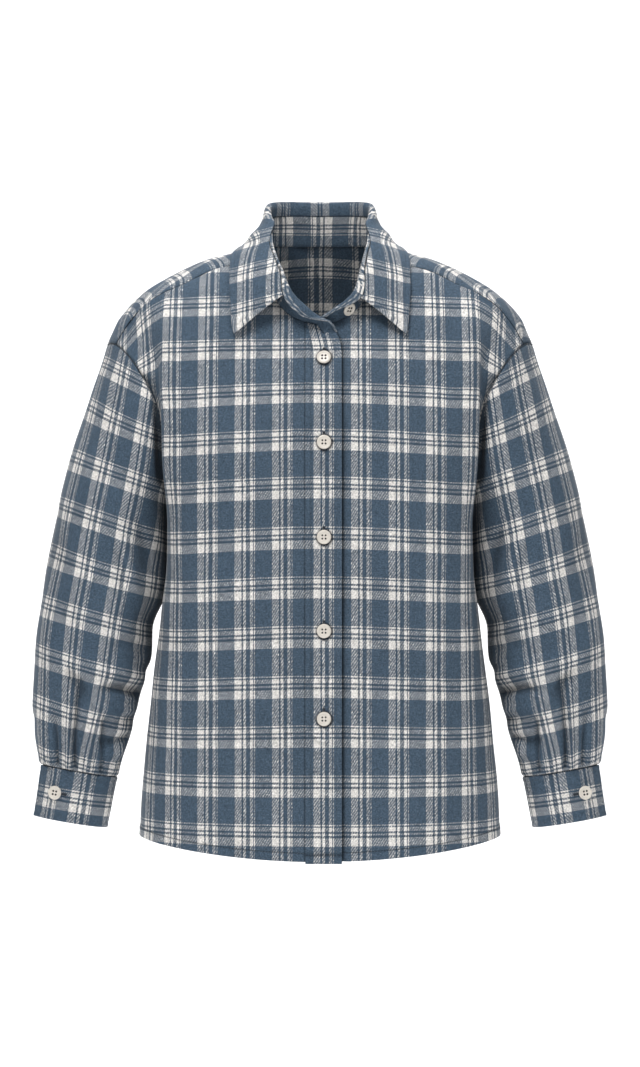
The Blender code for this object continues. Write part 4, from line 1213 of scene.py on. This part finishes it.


# Folds of the body's panels, placed on the wearer's right and, with their own sizes, on the left
frontFolds = {
    "right": (
        ("front", -120, -118, -150, -232, -8, 13, -0.9),
        ("front", -88, -300, -104, -470, 6, 17, 0.7),
        ("front", -150, -318, -140, -520, 10, 15, -1.1),
        ("front", -60, -470, -70, -640, 4, 16, -0.6),
        ("front", -124, -500, -130, -650, 3, 14, 0.9),
    ),
    "left": (
        ("front", 116, -112, 152, -226, 9, 12, -1),
        ("front", 92, -330, 108, -500, -6, 18, 0.8),
        ("front", 151, -300, 143, -505, -9, 14, -1),
        ("front", 66, -440, 60, -645, -4, 15, -0.5),
        ("front", 128, -520, 134, -650, -3, 13, 0.8),
    ),
}
backFolds = (
    ("back", -150, -150, -96, -330, 12, 15, -2),
    ("back", 146, -158, 88, -352, -14, 17, -2.3),
    ("back", -60, -200, -42, -470, 8, 20, 1.5),
    ("back", 40, -240, 58, -520, -9, 22, 1.7),
    ("back", -6, -330, 4, -600, 5, 18, -1.4),
    ("back", -118, -400, -128, -640, 6, 17, 1.6),
    ("back", 122, -430, 132, -645, -6, 16, 1.4),
    ("back", -84, -480, -90, -650, 3, 15, -1.2),
    ("back", 86, -500, 92, -650, -3, 14, -1.3),
)
hemBand = {"depth": 9.6, "raise": 0.55, "groove": 0.4, "roping": 0.13, "stitchIn": 9.1}


def hemRaise(grid):
    d = edgeDistance(grid, "b")
    run = edgeDistance(grid, "l")
    raised = hemBand["raise"] * (1 - ease(hemBand["depth"] - 0.6, hemBand["depth"] + 0.8, d))
    groove = hemBand["groove"] * bell(d - hemBand["depth"], working["grooveWide"])
    roping = hemBand["roping"] * np.sin(run / 2.6 + d / 2.0) * (d < hemBand["depth"])
    return raised - groove + roping


bodyMiddle = (0.0, 0.0, -250.0)


def quietEdges(grid, edges):
    # folds die away towards the seams, so the pieces still meet
    calm = np.ones(grid.shape[:2])
    for edge in edges:
        calm *= ease(0, detail["edgeFade"], edgeDistance(grid, edge))
    return calm


def workPanel(grid, folds, seams, calmEdges, seed, hem=True):
    normals = faceDirections(grid, bodyMiddle)
    lift = foldDepth(grid, normals, folds) + softWaves(grid, seed, 26.0, working["waveHeight"])
    lift *= quietEdges(grid, calmEdges)
    lift += seamDip(grid, seams)
    if hem:
        lift += hemRaise(grid)
    return lifted(grid, normals, lift)


def armholeShade(grid):
    # painted shade in the hollow between the roll and the sleeve, and a softer painted line along the rest of
    # the seam
    low = ease(-105, -135, grid[..., 2]) * (1 - ease(-235, -262, grid[..., 2]))
    fromSeam = edgeDistance(grid, "r")
    return np.minimum(0.22 + fromSeam * 0.045 + 4.0 * (1 - low), 0.40 + fromSeam * 0.9)


def makeFront(name, node, worked, cut, edgeShade):
    # painted shade along the hem's stitches, in the armhole's hollow and beside the front's edge
    shade = np.minimum(np.minimum(hemStitchShade(worked), armholeShade(worked)), edgeShade)
    clothPiece(
        name, node, trim(worked, "tr", body["seamGap"]), cut, body["wall"], bodyMiddle, seams="t",
        paintedShade=shade,
    )


frontSeams = (("t", 1.3, 1.7, 0.30, 1.0), ("r", 1.1, 1.7, 0.22, 2.0))
rightRaw = frontGrid(placket["left"] + placket["lapUnder"], detail["face"])
rightCut = refine(frontCut(rightRaw, -1, bodyCheck["rightShift"], detail["face"]), "tlrh")
rightFront = workPanel(refine(rightRaw, "tlrh"), frontFolds["right"], frontSeams, "tlr", 1.0)
# painted shade on the right front along the placket's left edge
besidePlacketShade = 0.28 + np.abs(rightFront[..., 0] - placket["left"] - 0.2) * 0.42
makeFront("frontRight", "front_right", rightFront, rightCut, besidePlacketShade)

# the left front runs on under the placket
leftFace = detail["face"] + detail["underPlacket"]
leftRaw = mirrored(frontGrid(placket["leftFrontEdge"], leftFace))
leftCut = refine(frontCut(leftRaw, 1, bodyCheck["leftShift"], leftFace), "trh")
leftFront = workPanel(refine(setBack(leftRaw), "trh"), frontFolds["left"], frontSeams, "tr", 2.6)
# painted shadow of the placket's right edge on the left front
pastEdge = leftFront[..., 0] - column(placket["rightEdges"], 1, leftFront[..., 2])
makeFront("frontLeft", "front_left", leftFront, leftCut, 0.12 + np.maximum(pastEdge, 0) * 0.20)
print("fronts cut and worked")

# Back
backHalf = backGrid()
halfReach = acrossReach(backHalf, -1, body["backFaceEdge"])
backReach = np.concatenate([-halfReach[:, :0:-1], halfReach], axis=1)
backHeight = backHalf[..., 2].copy()
upperBack = backHeight[: detail["backUpper"] + 1, detail["backFace"] :]
upperBack[:] = upperBack[:, :1]
backHeight = np.concatenate([backHeight[:, :0:-1], backHeight], axis=1)
backCut = np.stack([
    (bodyCheck["backShift"] - backReach) / check["acrossRepeat"], bodyDown(backHeight, np.abs(backReach))
], -1)
backSeams = (("t", 1.3, 1.7, 0.30, 3.0), ("l", 1.1, 1.7, 0.22, 4.0), ("r", 1.1, 1.7, 0.22, 5.0))
backWorked = workPanel(refine(bothSides(backHalf), "tlrh"), backFolds, backSeams, "tlr", 4.1)
clothPiece(
    "backPanel", "back", trim(trim(backWorked, "lr", body["seamGap"]), "t", -body["underYoke"]),
    refine(backCut, "tlrh"), body["wall"], bodyMiddle, seams="tlr", paintedShade=hemStitchShade(backWorked),
)
print("back cut and worked")

# Yoke: its check runs over the shoulders from the back seam
yoke = {
    "rows": 60,
    "neckColumns": 44,
    "downAtHeight": 2.6,
    # where the wide stripes lie across the ridge, from the wearer's left, and their repeat numbers
    "stripes": (
        (260, -5.3), (199, -4), (156, -3), (112, -2), (78, -1.22), (43, -0.67), (9.6, 0), (-40.1, 1),
        (-76, 2), (-112, 3), (-156, 4), (-199, 5), (-260, 6.4),
    ),
    "lean": 13.0,
    "edgeRaise": 0.45,
    "underStand": 0.9,
}
yokeHalf = yokeGrid(yoke["neckColumns"], rightRaw[0], backHalf[0], yoke["rows"])
yokeRaw = bothSides(yokeHalf)
yokeDistance = edgeDistance(yokeRaw, "b")
centreColumn = yokeRaw.shape[1] // 2
seamHeight = yokeRaw[-1, :, 2]
yokeDown = (yokeDistance + (seamHeight - seamHeight[centreColumn])[None]) / check["downRepeat"]
centreHeights = yokeRaw[:, centreColumn, 2]
centreStart = np.interp(yoke["downAtHeight"], centreHeights[::-1], yokeDown[::-1, centreColumn])
yokeDown += bodyCheck["wideShare"] - centreStart + 4
overFront = ease(0.0, 44.0, -yokeRaw[..., 1])
yokeX = yokeRaw[..., 0] + np.sign(yokeRaw[..., 0]) * yoke["lean"] * overFront
yokeAcross = column(yoke["stripes"], 1, yokeX) + check["wideMiddle"]
yokeSeams = (
    ("t", 0.5, 1.1, 0.30, 6.0), ("b", -yoke["edgeRaise"], 2.0, 0.26, 7.0),
    ("l", 1.1, 1.7, 0.22, 8), ("r", 1.1, 1.7, 0.22, 9),
)
yokeWorked = workPanel(refine(yokeRaw, "tblr"), (), yokeSeams, "tblr", 5.2, hem=False)
yokeCut = refine(np.stack([yokeAcross, yokeDown], -1), "tblr")
# painted shade along the armhole seams
clothPiece(
    "yokePanel", "yoke", trim(trim(yokeWorked, "blr", body["seamGap"]), "t", -yoke["underStand"]), yokeCut,
    body["wall"], bodyMiddle, seams="tb", paintedShade=0.40 + 0.9 * seamDistance(yokeWorked, "lr"),
)
print("yoke cut and worked")


def buttonPlace(name):
    # middle and outward direction of a button, from its own solid
    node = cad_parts[name]
    points = np.array([node.matrix_world @ v.co for v in node.data.vertices]) / mm
    centre = (points.min(axis=0) + points.max(axis=0)) / 2
    _, axes = np.linalg.eigh(np.cov((points - points.mean(axis=0)).T))
    return centre, axes[:, 0]  # it is thinnest along its axis


# Placket: a doubled strip a little proud of the right front, turning in at its top
base = neckPoint(np.linspace(0, 0.3, 80))
strip = []
for level in np.linspace(placket["start"], body["hemMiddle"] - 2.0, placket["rows"] + 1):
    near = 1 - float(ease(*placket["turnFrom"], level))
    rightEdge = float(column(placket["rightEdges"], 1, level))
    x = np.linspace(placket["left"] + 0.3, rightEdge, placket["columns"] + 1)
    seamY, seamZ = (np.interp(abs(x), -base[:, 0], base[:, n]) for n in (1, 2))
    z = level + (seamZ - 1.6 - placket["start"]) * near
    t = (seamZ - z) / (seamZ - bodyTop)
    upper = chestDepth(x, z) + (seamY - chestDepth(x, seamZ)) * (1 - np.clip(t, 0, 1)) ** 3
    dense = bodySection(np.linspace(0, 40, 60), level)
    lower = np.interp(abs(x), -dense[:, 0], dense[:, 1])
    strip.append(np.stack([x, np.where(z > bodyTop, upper, lower) - placket["proud"], z], -1))
strip = np.array(strip)
stripLift = bandPuff(strip, "lr", placket["puff"], placket["stitchIn"]) + softWaves(strip, 6.3, 22.0, 0.16)
stripRun = edgeDistance(strip, "t")
for edge, seed in (("l", 11.0), ("r", 12.0)):
    stripLift += 0.10 * ripple(stripRun, seed) * bell(edgeDistance(strip, edge) - 3.0, 3.5)
stripWorked = lifted(strip, faceDirections(strip, bodyMiddle), stripLift)
fromRight = edgeDistance(strip, "r")
lean = placket["stripeLean"] * ease(*placket["leanFrom"], strip[..., 2]) ** 1.6
stripAcross = (strip[..., 0] + placket["stripeShift"] + lean) / check["acrossRepeat"]
# at the top the right edge shows plain ground
toPlain = 1 - ease(placket["plainEdge"] - 1.5, placket["plainEdge"] + 1.5, fromRight)
toPlain = toPlain * ease(*placket["plainFrom"], strip[..., 2])
plainAcross = placket["plainShare"] + fromRight / check["acrossRepeat"]
stripAcross = stripAcross * (1 - toPlain) + plainAcross * toPlain
stripCut = np.stack([stripAcross, bodyDown(strip[..., 2], np.zeros(strip.shape[:2]))], -1)
# painted shade along the hem's stitches and along the left edge's stitches
stripShade = 0.20 + np.abs(edgeDistance(strip, "b") - hemBand["depth"]) * 0.26
stripShade = np.minimum(stripShade, 0.52 + np.abs(edgeDistance(strip, "l") - placket["stitchIn"]) * 0.5)
# a painted shadow round each button
for k in range(1, 6):
    centre, _ = buttonPlace(f"button_front_{k}")
    away = np.hypot(strip[..., 0] - centre[0] - 0.5, strip[..., 2] - centre[2] + 0.6)
    paintedButtonShadow = 0.02 + np.maximum(np.abs(away - placket["buttonShade"]) - 0.5, 0) * 0.42
    stripShade = np.minimum(stripShade, paintedButtonShadow)
clothPiece(
    "placketBand", "front_placket", stripWorked, stripCut, placket["wall"], bodyMiddle, band=True,
    paintedShade=stripShade,
)
print("placket folded")

# Collar: the stand and the leaf, the leaf's check mirrored about the middle
collarCheck = {
    # distance from the centre back toward the right end, repeat: the ends are cut from plain ground
    "standStripes": (
        (-258, -4.42), (-213, -4.02), (-100, -1.961), (0, 0.3115), (100, 2.584), (213, 5.57), (258, 5.85),
        (290, 5.94),
    ),
    "standHalf": 258.0,
    "standEnds": (150, 200),
    "standPlainFrom": -0.50,
    "standPlainSpan": 0.60,
    "backRepeat": 44.0,
    "leafRepeat": 30.5,
    "leafSide": -88.4,
    "leafLean": 0.09,
    "leafLeanAbove": -27.5,
    "leafStripes": ((-66.4, 2.3613), (-24, 1.3613), (14, 0.3613), (54, -0.6387)),
    "leafSlope": 0.25,
    "leafTurn": (0.38, 0.60),
    "leafTurnDown": (0.47, 0.66),
    "leafEdge": (-0.30, 0.05),
    "leafCentre": 0.2085,
    "leafToCentre": (0.50, 0.80),
    "standDown": 46.0,
    "standWide": 31.0,
}


def leafCut(leaf):
    # on the front the stripes hang straight; past the side of the neck they run round along the leaf
    x, z = leaf[..., 0], leaf[..., 2]
    along = np.linspace(collar["leafStart"], 1, leaf.shape[1])[None]
    lean = collarCheck["leafLean"] * np.maximum(z - collarCheck["leafLeanAbove"], 0.0)
    acrossFront = (x - collarCheck["leafSide"] - lean) / collarCheck["leafRepeat"]
    edgeShift = through((0.5, 0.9), collarCheck["leafEdge"], along)
    acrossBack = edgeDistance(leaf, "b") / collarCheck["backRepeat"] + edgeShift
    mix = ease(*collarCheck["leafTurn"], along)
    across = acrossFront * (1 - mix) + acrossBack * mix
    downFront = column(collarCheck["leafStripes"], 1, z - collarCheck["leafSlope"] * (x + 64.0))
    run = edgeDistance(leaf, "l")
    step = np.diff(run * 0.3 + run[4:5] * 0.7, axis=1) / -collarCheck["backRepeat"]
    mix = ease(*collarCheck["leafTurnDown"], along)[:, 1:]
    step = np.diff(downFront, axis=1) * (1 - mix) + step * mix
    down = downFront[:, :1] + np.concatenate([np.zeros((len(leaf), 1)), np.cumsum(step, axis=1)], axis=1)
    # both halves meet in the middle of a stripe at the centre back, as the stand's do below it
    centre = collarCheck["leafCentre"] + np.round(down[4, -1] - collarCheck["leafCentre"])
    down += ease(*collarCheck["leafToCentre"], along) * (centre - down[:, -1:])
    return np.stack([across, down], -1)


standGrids, leafGrids = zip(*(collarGrids(left) for left in (False, True)))
stand = np.concatenate([standGrids[0][:, :-1], mirrored(standGrids[1])[:, ::-1]], axis=1)
leaf = np.concatenate([leafGrids[0][:, :-1], mirrored(leafGrids[1])[:, ::-1]], axis=1)
onRoll = 1 - collar["leafClose"] * bell(leaf[..., 2] - 32.0, 15.0)
onFall = column(collar["leafOutline"], 1, leaf[..., 2])
fallen = ease(0.10, 0.34, np.linspace(0, 1, leaf.shape[0]))[:, None]
atSide = 1 - ease(30, 65, leaf[..., 1])
leaf[..., 0] *= 1 + atSide * (onRoll * (1 - fallen) + onFall * fallen - 1)
leafUv = np.concatenate([leafCut(leafGrids[0]), leafCut(leafGrids[1])[:, -2::-1]], axis=1)
standRun = edgeDistance(stand, "l")
standCentre = standRun[:, standRun.shape[1] // 2][:, None]
fromCentre = (standCentre - standRun) * collarCheck["standHalf"]
fromCentre /= np.where(fromCentre > 0, standCentre - standRun[:, 4:5], standRun[:, -1:] - standCentre)
standAcross = column(collarCheck["standStripes"], 1, fromCentre)
standHeight = edgeDistance(stand, "t")
standDown = bodyCheck["wideShare"] + (standHeight - collarCheck["standWide"]) / collarCheck["standDown"]
plainDown = collarCheck["standPlainFrom"] + collarCheck["standPlainSpan"] * standHeight / standHeight[-1:]
toEnd = ease(*collarCheck["standEnds"], np.abs(fromCentre))
standDown = standDown * (1 - toEnd) + plainDown * toEnd
standUv = np.stack([standAcross, standDown], -1)
neckMiddle = (0.0, 0.0, 10.0)
standNormals = faceDirections(stand, neckMiddle)
standLift = bandPuff(stand, "lr", collar["standPuff"], collar["standEdge"])
standLift = standLift + softWaves(stand, 7.7, 18.0, 0.15)
standLift += collar["baseLap"] * bell(standHeight, 2.6)
standLift += 0.22 * ripple(standRun * 0.8 + standHeight * 0.5, 16.0) * ease(90, 160, np.abs(fromCentre))
standWorked = lifted(stand, standNormals, standLift)
clothPiece(
    "collarStand", "collar_stand", standWorked, standUv, collar["wall"], neckMiddle, band=True, seams="t"
)
leafLift = softWaves(leaf, 8.4, 20.0, 0.22) - bandPuff(leaf, "blr", collar["puff"], collar["stitchIn"])
for edge, seed in (("b", 17.0), ("l", 18.0), ("r", 19.0)):
    leafRun = edgeDistance(leaf, "l" if edge == "b" else "t")
    leafLift += 0.20 * ripple(leafRun, seed) * bell(edgeDistance(leaf, edge) - 2.5, 4.0)
leafWorked = lifted(leaf, faceDirections(leaf, neckMiddle, inward=True), leafLift)
# painted shade along the leaf's topstitching
leafShade = 0.50 + np.abs(seamDistance(leafWorked, "lrb") - collar["stitchIn"]) * 0.5
clothPiece(
    "collarLeaf", "collar_leaf", leafWorked, leafUv, collar["wall"], neckMiddle, inward=True, band=True,
    seams="t", paintedShade=leafShade,
)
print("collar turned")

sleeveCheck = {
    # height, where the four wide stripes that run down the sleeve lie across it
    "stripes": (
        (-100, -300, -216, -181, -148), (-136, -306, -222.3, -187, -152),
        (-188, -288, -231.6, -194.5, -157), (-241, -282, -242.4, -204, -163),
        (-293, -289, -253.1, -214.8, -175), (-346, -297, -262.3, -222.4, -185),
        (-398, -303, -271.6, -231, -193.5), (-452, -306, -275.5, -238.5, -202.5),
        (-505, -306, -276.2, -248.6, -213.5), (-544, -301, -277, -258, -222.5),
        (-565, -299, -278, -261, -227),
    ),
    # height where each wide stripe round the sleeve crosses the third one, its slope, its repeat number
    "rounds": (
        (-60, 0.50, -1.45), (-103, 0.49, -0.6387), (-151.5, 0.477, 0.3613), (-200.7, 0.357, 1.3613),
        (-253, 0.32, 2.3613), (-304.6, 0.33, 3.3613), (-356.2, 0.275, 4.3613), (-408.5, 0.268, 5.3613),
        (-460.9, 0.262, 6.3613), (-512.5, 0.225, 7.3613), (-549.3, 0.21, 8.104), (-600, 0.2, 9.07),
    ),
    "repeatRound": 38.5,
    # angles round the sleeve where the stripes are placed, and at least placed
    "front": (392, 500),
    "frontLeast": (425, 455),
}
sleeveHang = (
    ("inner", 0, -236, 0, -500, 0, 55, 3.4),
    ("inner", -70, -400, 70, -400, 0, 22, -6),
)
sleeveFolds = (
    ("front", -179, -146, -170, -246, 5, 6, -8),
    ("front", -190, -150, -187, -250, 3, 7, 2.2),
    ("front", -214, -300, -203, -378, 4, 6, 3),
    ("front", -222, -306, -212, -372, 3, 6, -1.6),
    ("front", -199, -286, -188, -356, 3, 6, -3),
    ("front", -182, -262, -178, -340, 2, 6, 2),
    ("front", -184, -440, -226, -420, -6, 8, -2.4),
    ("front", -182, -466, -236, -454, -5, 6.5, 3),
    ("front", -184, -484, -242, -470, -5, 5, -5.2),
    ("front", -190, -500, -248, -497, -5, 6, 3.4),
    ("front", -194, -520, -246, -528, 3, 5, -3.8),
    ("front", -206, -536, -244, -548, 2, 5, 2.2),
    ("front", -264, -578, -258, -456, 4, 2.8, -5.6),
    ("front", -272, -578, -268, -486, 2, 3.6, 3.2),
    ("front", -286, -578, -288, -492, -1, 2.6, -4.6),
    ("front", -296, -574, -298, -520, -1, 4, 1.8),
    ("front", -240, -578, -234, -486, -3, 2.8, -4.2),
    ("front", -250, -574, -246, -500, 1, 4, 2.2),
    ("front", -226, -574, -216, -520, -2, 4, 2),
    ("front", -280, -446, -252, -486, 5, 8, -4.6),
    ("front", -262, -430, -238, -462, 5, 9, 2.4),
    ("front", -296, -360, -284, -452, -5, 12, 1.8),
    ("front", -292, -250, -276, -350, -6, 13, -1.8),
    ("back", -206, -380, -262, -352, -8, 10, -2.8),
    ("back", -200, -420, -270, -398, -9, 11, 2.6),
    ("back", -204, -452, -268, -440, 7, 8, -3.6),
    ("back", -206, -486, -262, -492, 6, 8, 2.6),
    ("back", -232, -574, -230, -480, 3, 5, -3.6),
    ("back", -262, -574, -264, -490, -3, 6, 2.4),
    ("back", -248, -574, -246, -510, 2, 4, -2.8),
    ("back", -222, -200, -206, -310, 6, 10, -3),
    ("outer", 10, -420, 40, -458, 4, 10, -2.2),
    ("outer", -30, -500, 16, -520, -4, 9, -2),
    ("outer", -6, -574, -8, -510, 2, 5, -2.6),
    ("inner", -40, -450, 30, -468, 5, 8, -2.2),
    ("inner", -60, -480, 40, -490, 0, 20, -3.4),
    ("inner", -46, -504, 20, -512, 2, 9, -1.8),
    ("inner", -30, -574, -28, -524, 2, 4, -2.4),
)
sleeveAngles = np.linspace(180, 540, sleeve["count"] + 1)
sleeveRaw = sleeveGrid(sleeveAngles)


def sleeveCut(grid):
    x, z = grid[..., 0], grid[..., 2]
    lines = [column(sleeveCheck["stripes"], n, z) for n in range(1, 5)]
    across = np.empty(z.shape)
    front, least = (
        (sleeveAngles > low) & (sleeveAngles < high)
        for low, high in (sleeveCheck["front"], sleeveCheck["frontLeast"])
    )
    for r in range(len(z)):
        inRange = front & (x[r] > lines[1][r] - 6) & (x[r] < lines[3][r] + 2)
        inRange = inRange if inRange.sum() >= 4 else least
        chosen = np.flatnonzero(inRange)
        found = [np.interp(x[r, c], [line[r, c] for line in lines], [-1.0, 0.0, 1.0, 2.0]) for c in chosen]
        length = lengths(grid[r])
        first, last = length[chosen[0]], length[chosen[-1]]
        # past the front the stripes lie an even distance apart
        past = np.minimum(length - first, 0) + np.maximum(length - last, 0)
        across[r] = np.interp(length, length[chosen], found) + past / sleeveCheck["repeatRound"]
    # smooth the join of the two rules down the sleeve
    for _ in range(6):
        across[1:-1] = (across[:-2] + 2 * across[1:-1] + across[2:]) / 4
    slope = column(sleeveCheck["rounds"], 1, z)
    down = column(sleeveCheck["rounds"], 2, z + slope * (x - lines[2]))
    return np.stack([across + check["wideMiddle"], down], -1)


sleeveUv = refine(sleeveCut(sleeveRaw), "tb")
sleeveRaw = refine(sleeveRaw, "tb")
sleeveNormals = faceDirections(sleeveRaw)
calm = ease(0, 9, edgeDistance(sleeveRaw, "t")) * ease(0, 4, edgeDistance(sleeveRaw, "b"))
sleeveLift = foldDepth(sleeveRaw, sleeveNormals, sleeveFolds + sleeveHang)
sleeveLift = (sleeveLift + softWaves(sleeveRaw, 9.4, 24.0, working["waveHeight"])) * calm
sleeveLift += seamDip(sleeveRaw, (("t", 1.3, 1.9, 0.34, 13.0), ("b", 1.0, 1.8, 0.40, 14.0)))
sleeveWorked = lifted(sleeveRaw, sleeveNormals, sleeveLift)
sleeveWorked[:, -1] = sleeveWorked[:, 0]
sleeveWorked = trim(sleeveWorked, "t", sleeve["seamGap"])

# Painted shade on the sleeves: beside the body, in the valleys, and along the armhole
sleeveShadow = {
    "pocketDepth": 17.0,
    # angles round the sleeve between which each of these sets in
    "pocketGrows": (436, 474),
    "pocketShrinks": (490, 512),
    "frontStarts": (425, 445),
    "frontEnds": (515, 538),
    "bodyStarts": (466, 500),
    "bodyEnds": (200, 235),
}
fromSeam = edgeDistance(sleeveWorked, "t")
sleeveZ = sleeveWorked[..., 2]


def setIn(name):
    return ease(*sleeveShadow[name], sleeveAngles)


# pocket: how far the painted shade under the arm reaches down from the seam
pocket = sleeveShadow["pocketDepth"] * setIn("pocketGrows") * (1 - 0.7 * setIn("pocketShrinks"))
outside = 4.0 * (1 - setIn("frontStarts")) + 4.0 * setIn("frontEnds")
towardBody = np.maximum(setIn("bodyStarts"), 1 - setIn("bodyEnds"))
sleeveShade = np.minimum.reduce([
    0.14 + np.maximum(fromSeam - pocket, 0) * 0.10 + outside,
    foldShade(foldDepth(sleeveRaw, sleeveNormals, sleeveFolds) * calm),
    0.60 + 1.2 * (1 - towardBody) + ease(-420, -520, sleeveZ) + 0.32 * ease(-380, -320, sleeveZ),
    0.40 + fromSeam * 0.9,
])
for name, node, grid in (
    ("sleeveRight", "sleeve_right", sleeveWorked), ("sleeveLeft", "sleeve_left", mirrored(sleeveWorked))
):
    clothPiece(name, node, grid, sleeveUv, sleeve["wall"], None, ring=True, seams="b", paintedShade=sleeveShade)
print("sleeves set")

# Cuffs
cuffCheck = {
    "stripes": ((42, 0), (88, 1), (150, 2)),  # angle, repeat number
    "repeat": 39.8,
    "wideAt": 39.0,
}
cuffAngles = np.linspace(cuff["edgeAngle"], cuff["edgeAngle"] + 360 + cuff["lap"], cuff["count"] + 1)
cuffRaw = cuffGrid(cuffAngles, cuff["rows"])
cuffRun = edgeDistance(cuffRaw, "l")[cuff["rows"] // 2]
stripeAngles, stripeNumbers = zip(*cuffCheck["stripes"])
firstRun, lastRun = np.interp([stripeAngles[0], stripeAngles[-1]], cuffAngles, cuffRun)
pastStripes = np.minimum(cuffRun - firstRun, 0) + np.maximum(cuffRun - lastRun, 0)
cuffAcross = np.interp(cuffAngles, stripeAngles, stripeNumbers) + pastStripes / cuffCheck["repeat"]
cuffDown = bodyCheck["wideShare"] + (edgeDistance(cuffRaw, "t") - cuffCheck["wideAt"]) / check["downRepeat"]
cuffUv = np.stack([np.broadcast_to(cuffAcross, cuffDown.shape), cuffDown], -1)
cuffLift = bandPuff(cuffRaw, "tbl", cuff["puff"], cuff["stitchIn"]) + softWaves(cuffRaw, 10.3, 16.0, 0.25)
cuffWorked = lifted(cuffRaw, faceDirections(cuffRaw), cuffLift)
clothPiece("cuffRight", "cuff_right", cuffWorked, cuffUv, cuff["wall"], None, band=True)
clothPiece("cuffLeft", "cuff_left", mirrored(cuffWorked), cuffUv, cuff["wall"], None, band=True)
print("cuffs lapped")

# Topstitching: one object of thread for each piece it holds
def topstitch(name, rows):
    store = newStore()
    for row in rows:
        edgeStitches(store, *row)
    stitchObject(name + "Stitches", store, seamThread)


leafIn, hemIn, seamIn = collar["stitchIn"], hemBand["stitchIn"], stitch["seamIn"]
topstitch("leaf", [
    (leafWorked, "b", leafIn, neckMiddle, 5.0, -5.0, True),
    (leafWorked, "l", leafIn, neckMiddle, 4.0, -6.0, True),
    (leafWorked, "r", leafIn, neckMiddle, 4.0, -6.0, True),
])
topstitch("stand", [
    (standWorked, edge, distance, neckMiddle, 4.0, -4.0) for edge, distance in collar["standStitchIn"].items()
])
topstitch("placket", [
    (stripWorked, edge, placket["stitchIn"], bodyMiddle, 6.0, -2.0) for edge in "lr"
])
seamColumns = int(np.argmin(abs(yokeWorked[0, :, 0] + 72.0)))
topstitch("yoke", [
    (yokeWorked, "b", seamIn, bodyMiddle, 4.0, -4.0),
    (yokeWorked, "t", seamIn, bodyMiddle, 4.0, -1.0, False, slice(None, seamColumns)),
    (yokeWorked, "t", seamIn, bodyMiddle, 1.0, -4.0, False, slice(-seamColumns, None)),
])
topstitch("backHem", [(backWorked, "b", hemIn, bodyMiddle, 2.0, -2.0)])
topstitch("rightHem", [(rightFront, "b", hemIn, bodyMiddle, 1.0, -1.0)])
topstitch("leftHem", [(leftFront, "b", hemIn, bodyMiddle, 44.0, -1.0)])
for name, node, grid in (("right", "cuff_right", cuffWorked), ("left", "cuff_left", mirrored(cuffWorked))):
    topstitch(name + "Cuff", [
        (grid, edge, cuff["stitchIn"], None, 5.0, end)
        for edge, end in (("t", -26.0), ("b", -26.0), ("l", -5.0))
    ])
print("topstitched")

# Buttonholes with painted shade in their slits, and the thread that holds each button, near-black so that it
# also paints the shade in the button's holes
sewing = {
    "holeStep": 1.8,
    "knotShadeRadius": 1.22,
    "knotShadeHeight": 0.54,
    "standHole": (-22.5, -50.5),  # x and height of the stand's buttonhole
}
holes = {kind: (newStore(), newStore()) for kind in ("placket", "stand", "cuff")}
knotsHoleShade = newStore()


def sewButton(name, outward, upward):
    centre, normal = buttonPlace(name)
    normal = normal if normal @ outward > 0 else -normal
    upward = unit(upward - normal * (upward @ normal))
    across = np.cross(normal, upward)
    step = sewing["holeStep"]
    # each hole filled with a near-black knot: thread and painted shade
    for side in (-step, step):
        for rise in (-step, step):
            knotHoleShade(knotsHoleShade, centre + across * side + upward * rise, across, upward, normal)
    return centre, normal


def nextAlong(grid, r, c):
    return unit(grid[r, c + 1] - grid[r, c])


skyward = np.array([0.0, 0.0, 1.0])
forward = np.array([0.0, -1.0, 0.0])
for k in range(1, 6):
    centre, normal = sewButton(f"button_front_{k}", forward, skyward)
    row = stripWorked[np.argmin(abs(stripWorked[:, 20, 2] - centre[2]))]
    depth = np.interp(centre[0], row[:, 0], row[:, 1])
    workButtonhole(*holes["placket"], np.array([centre[0], depth, centre[2] + 0.7]), normal, skyward)
cuffFaces = faceDirections(cuffWorked)
for name, flip in (("button_cuff_right", 1.0), ("button_cuff_left", -1.0)):
    side = np.array([flip, 1.0, 1.0])
    centre, normal = sewButton(name, np.array([-flip * 0.4, -1.0, 0.0]), -np.array(cuff["axis"]) * side)
    away = np.linalg.norm(cuffWorked - centre * side, axis=2)
    r, c = divmod(int(np.argmin(away)), away.shape[1])
    along = nextAlong(cuffWorked, r, c)
    spot = (cuffWorked[r, c] + along * 2.5) * side
    workButtonhole(*holes["cuff"], spot, cuffFaces[r, c] * side, along * side)
sewButton("button_stand", forward, skyward)
holeX, holeZ = sewing["standHole"]
away = np.hypot(standWorked[..., 0] - holeX, standWorked[..., 2] - holeZ) + 0.3 * standWorked[..., 1]
r, c = divmod(int(np.argmin(away)), away.shape[1])
spot, along = standWorked[r, c], nextAlong(standWorked, r, c)
workButtonhole(*holes["stand"], spot, standNormals[r, c], along)
# a wider dark tube in the stand's slit: painted shade in its opening
loop(holes["stand"][1], spot - along * 2.4, spot + along * 2.4, standNormals[r, c], 0.95, 0.15)
# each kind's buttonhole thread, and the painted shade of its slits
for kind, node, thread in (
    ("placket", "front_placket", holeThreadSlitShade), ("stand", "collar_stand", seamThread),
    ("cuff", "cuff_right", holeThreadSlitShade),
):
    stitchObject(kind + "Buttonholes", holes[kind][0], thread)
    stitchObject(kind + "Slits", holes[kind][1], holeThreadSlitShade)
stitchObject("buttonThreads", knotsHoleShade, buttonThread)
print("buttons sewn")
# Buttons keep their turned solids and take a better finish
for name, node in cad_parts.items():
    if name.startswith("button"):
        for place in node.material_slots:
            place.material = buttonResin
print("buttons finished")
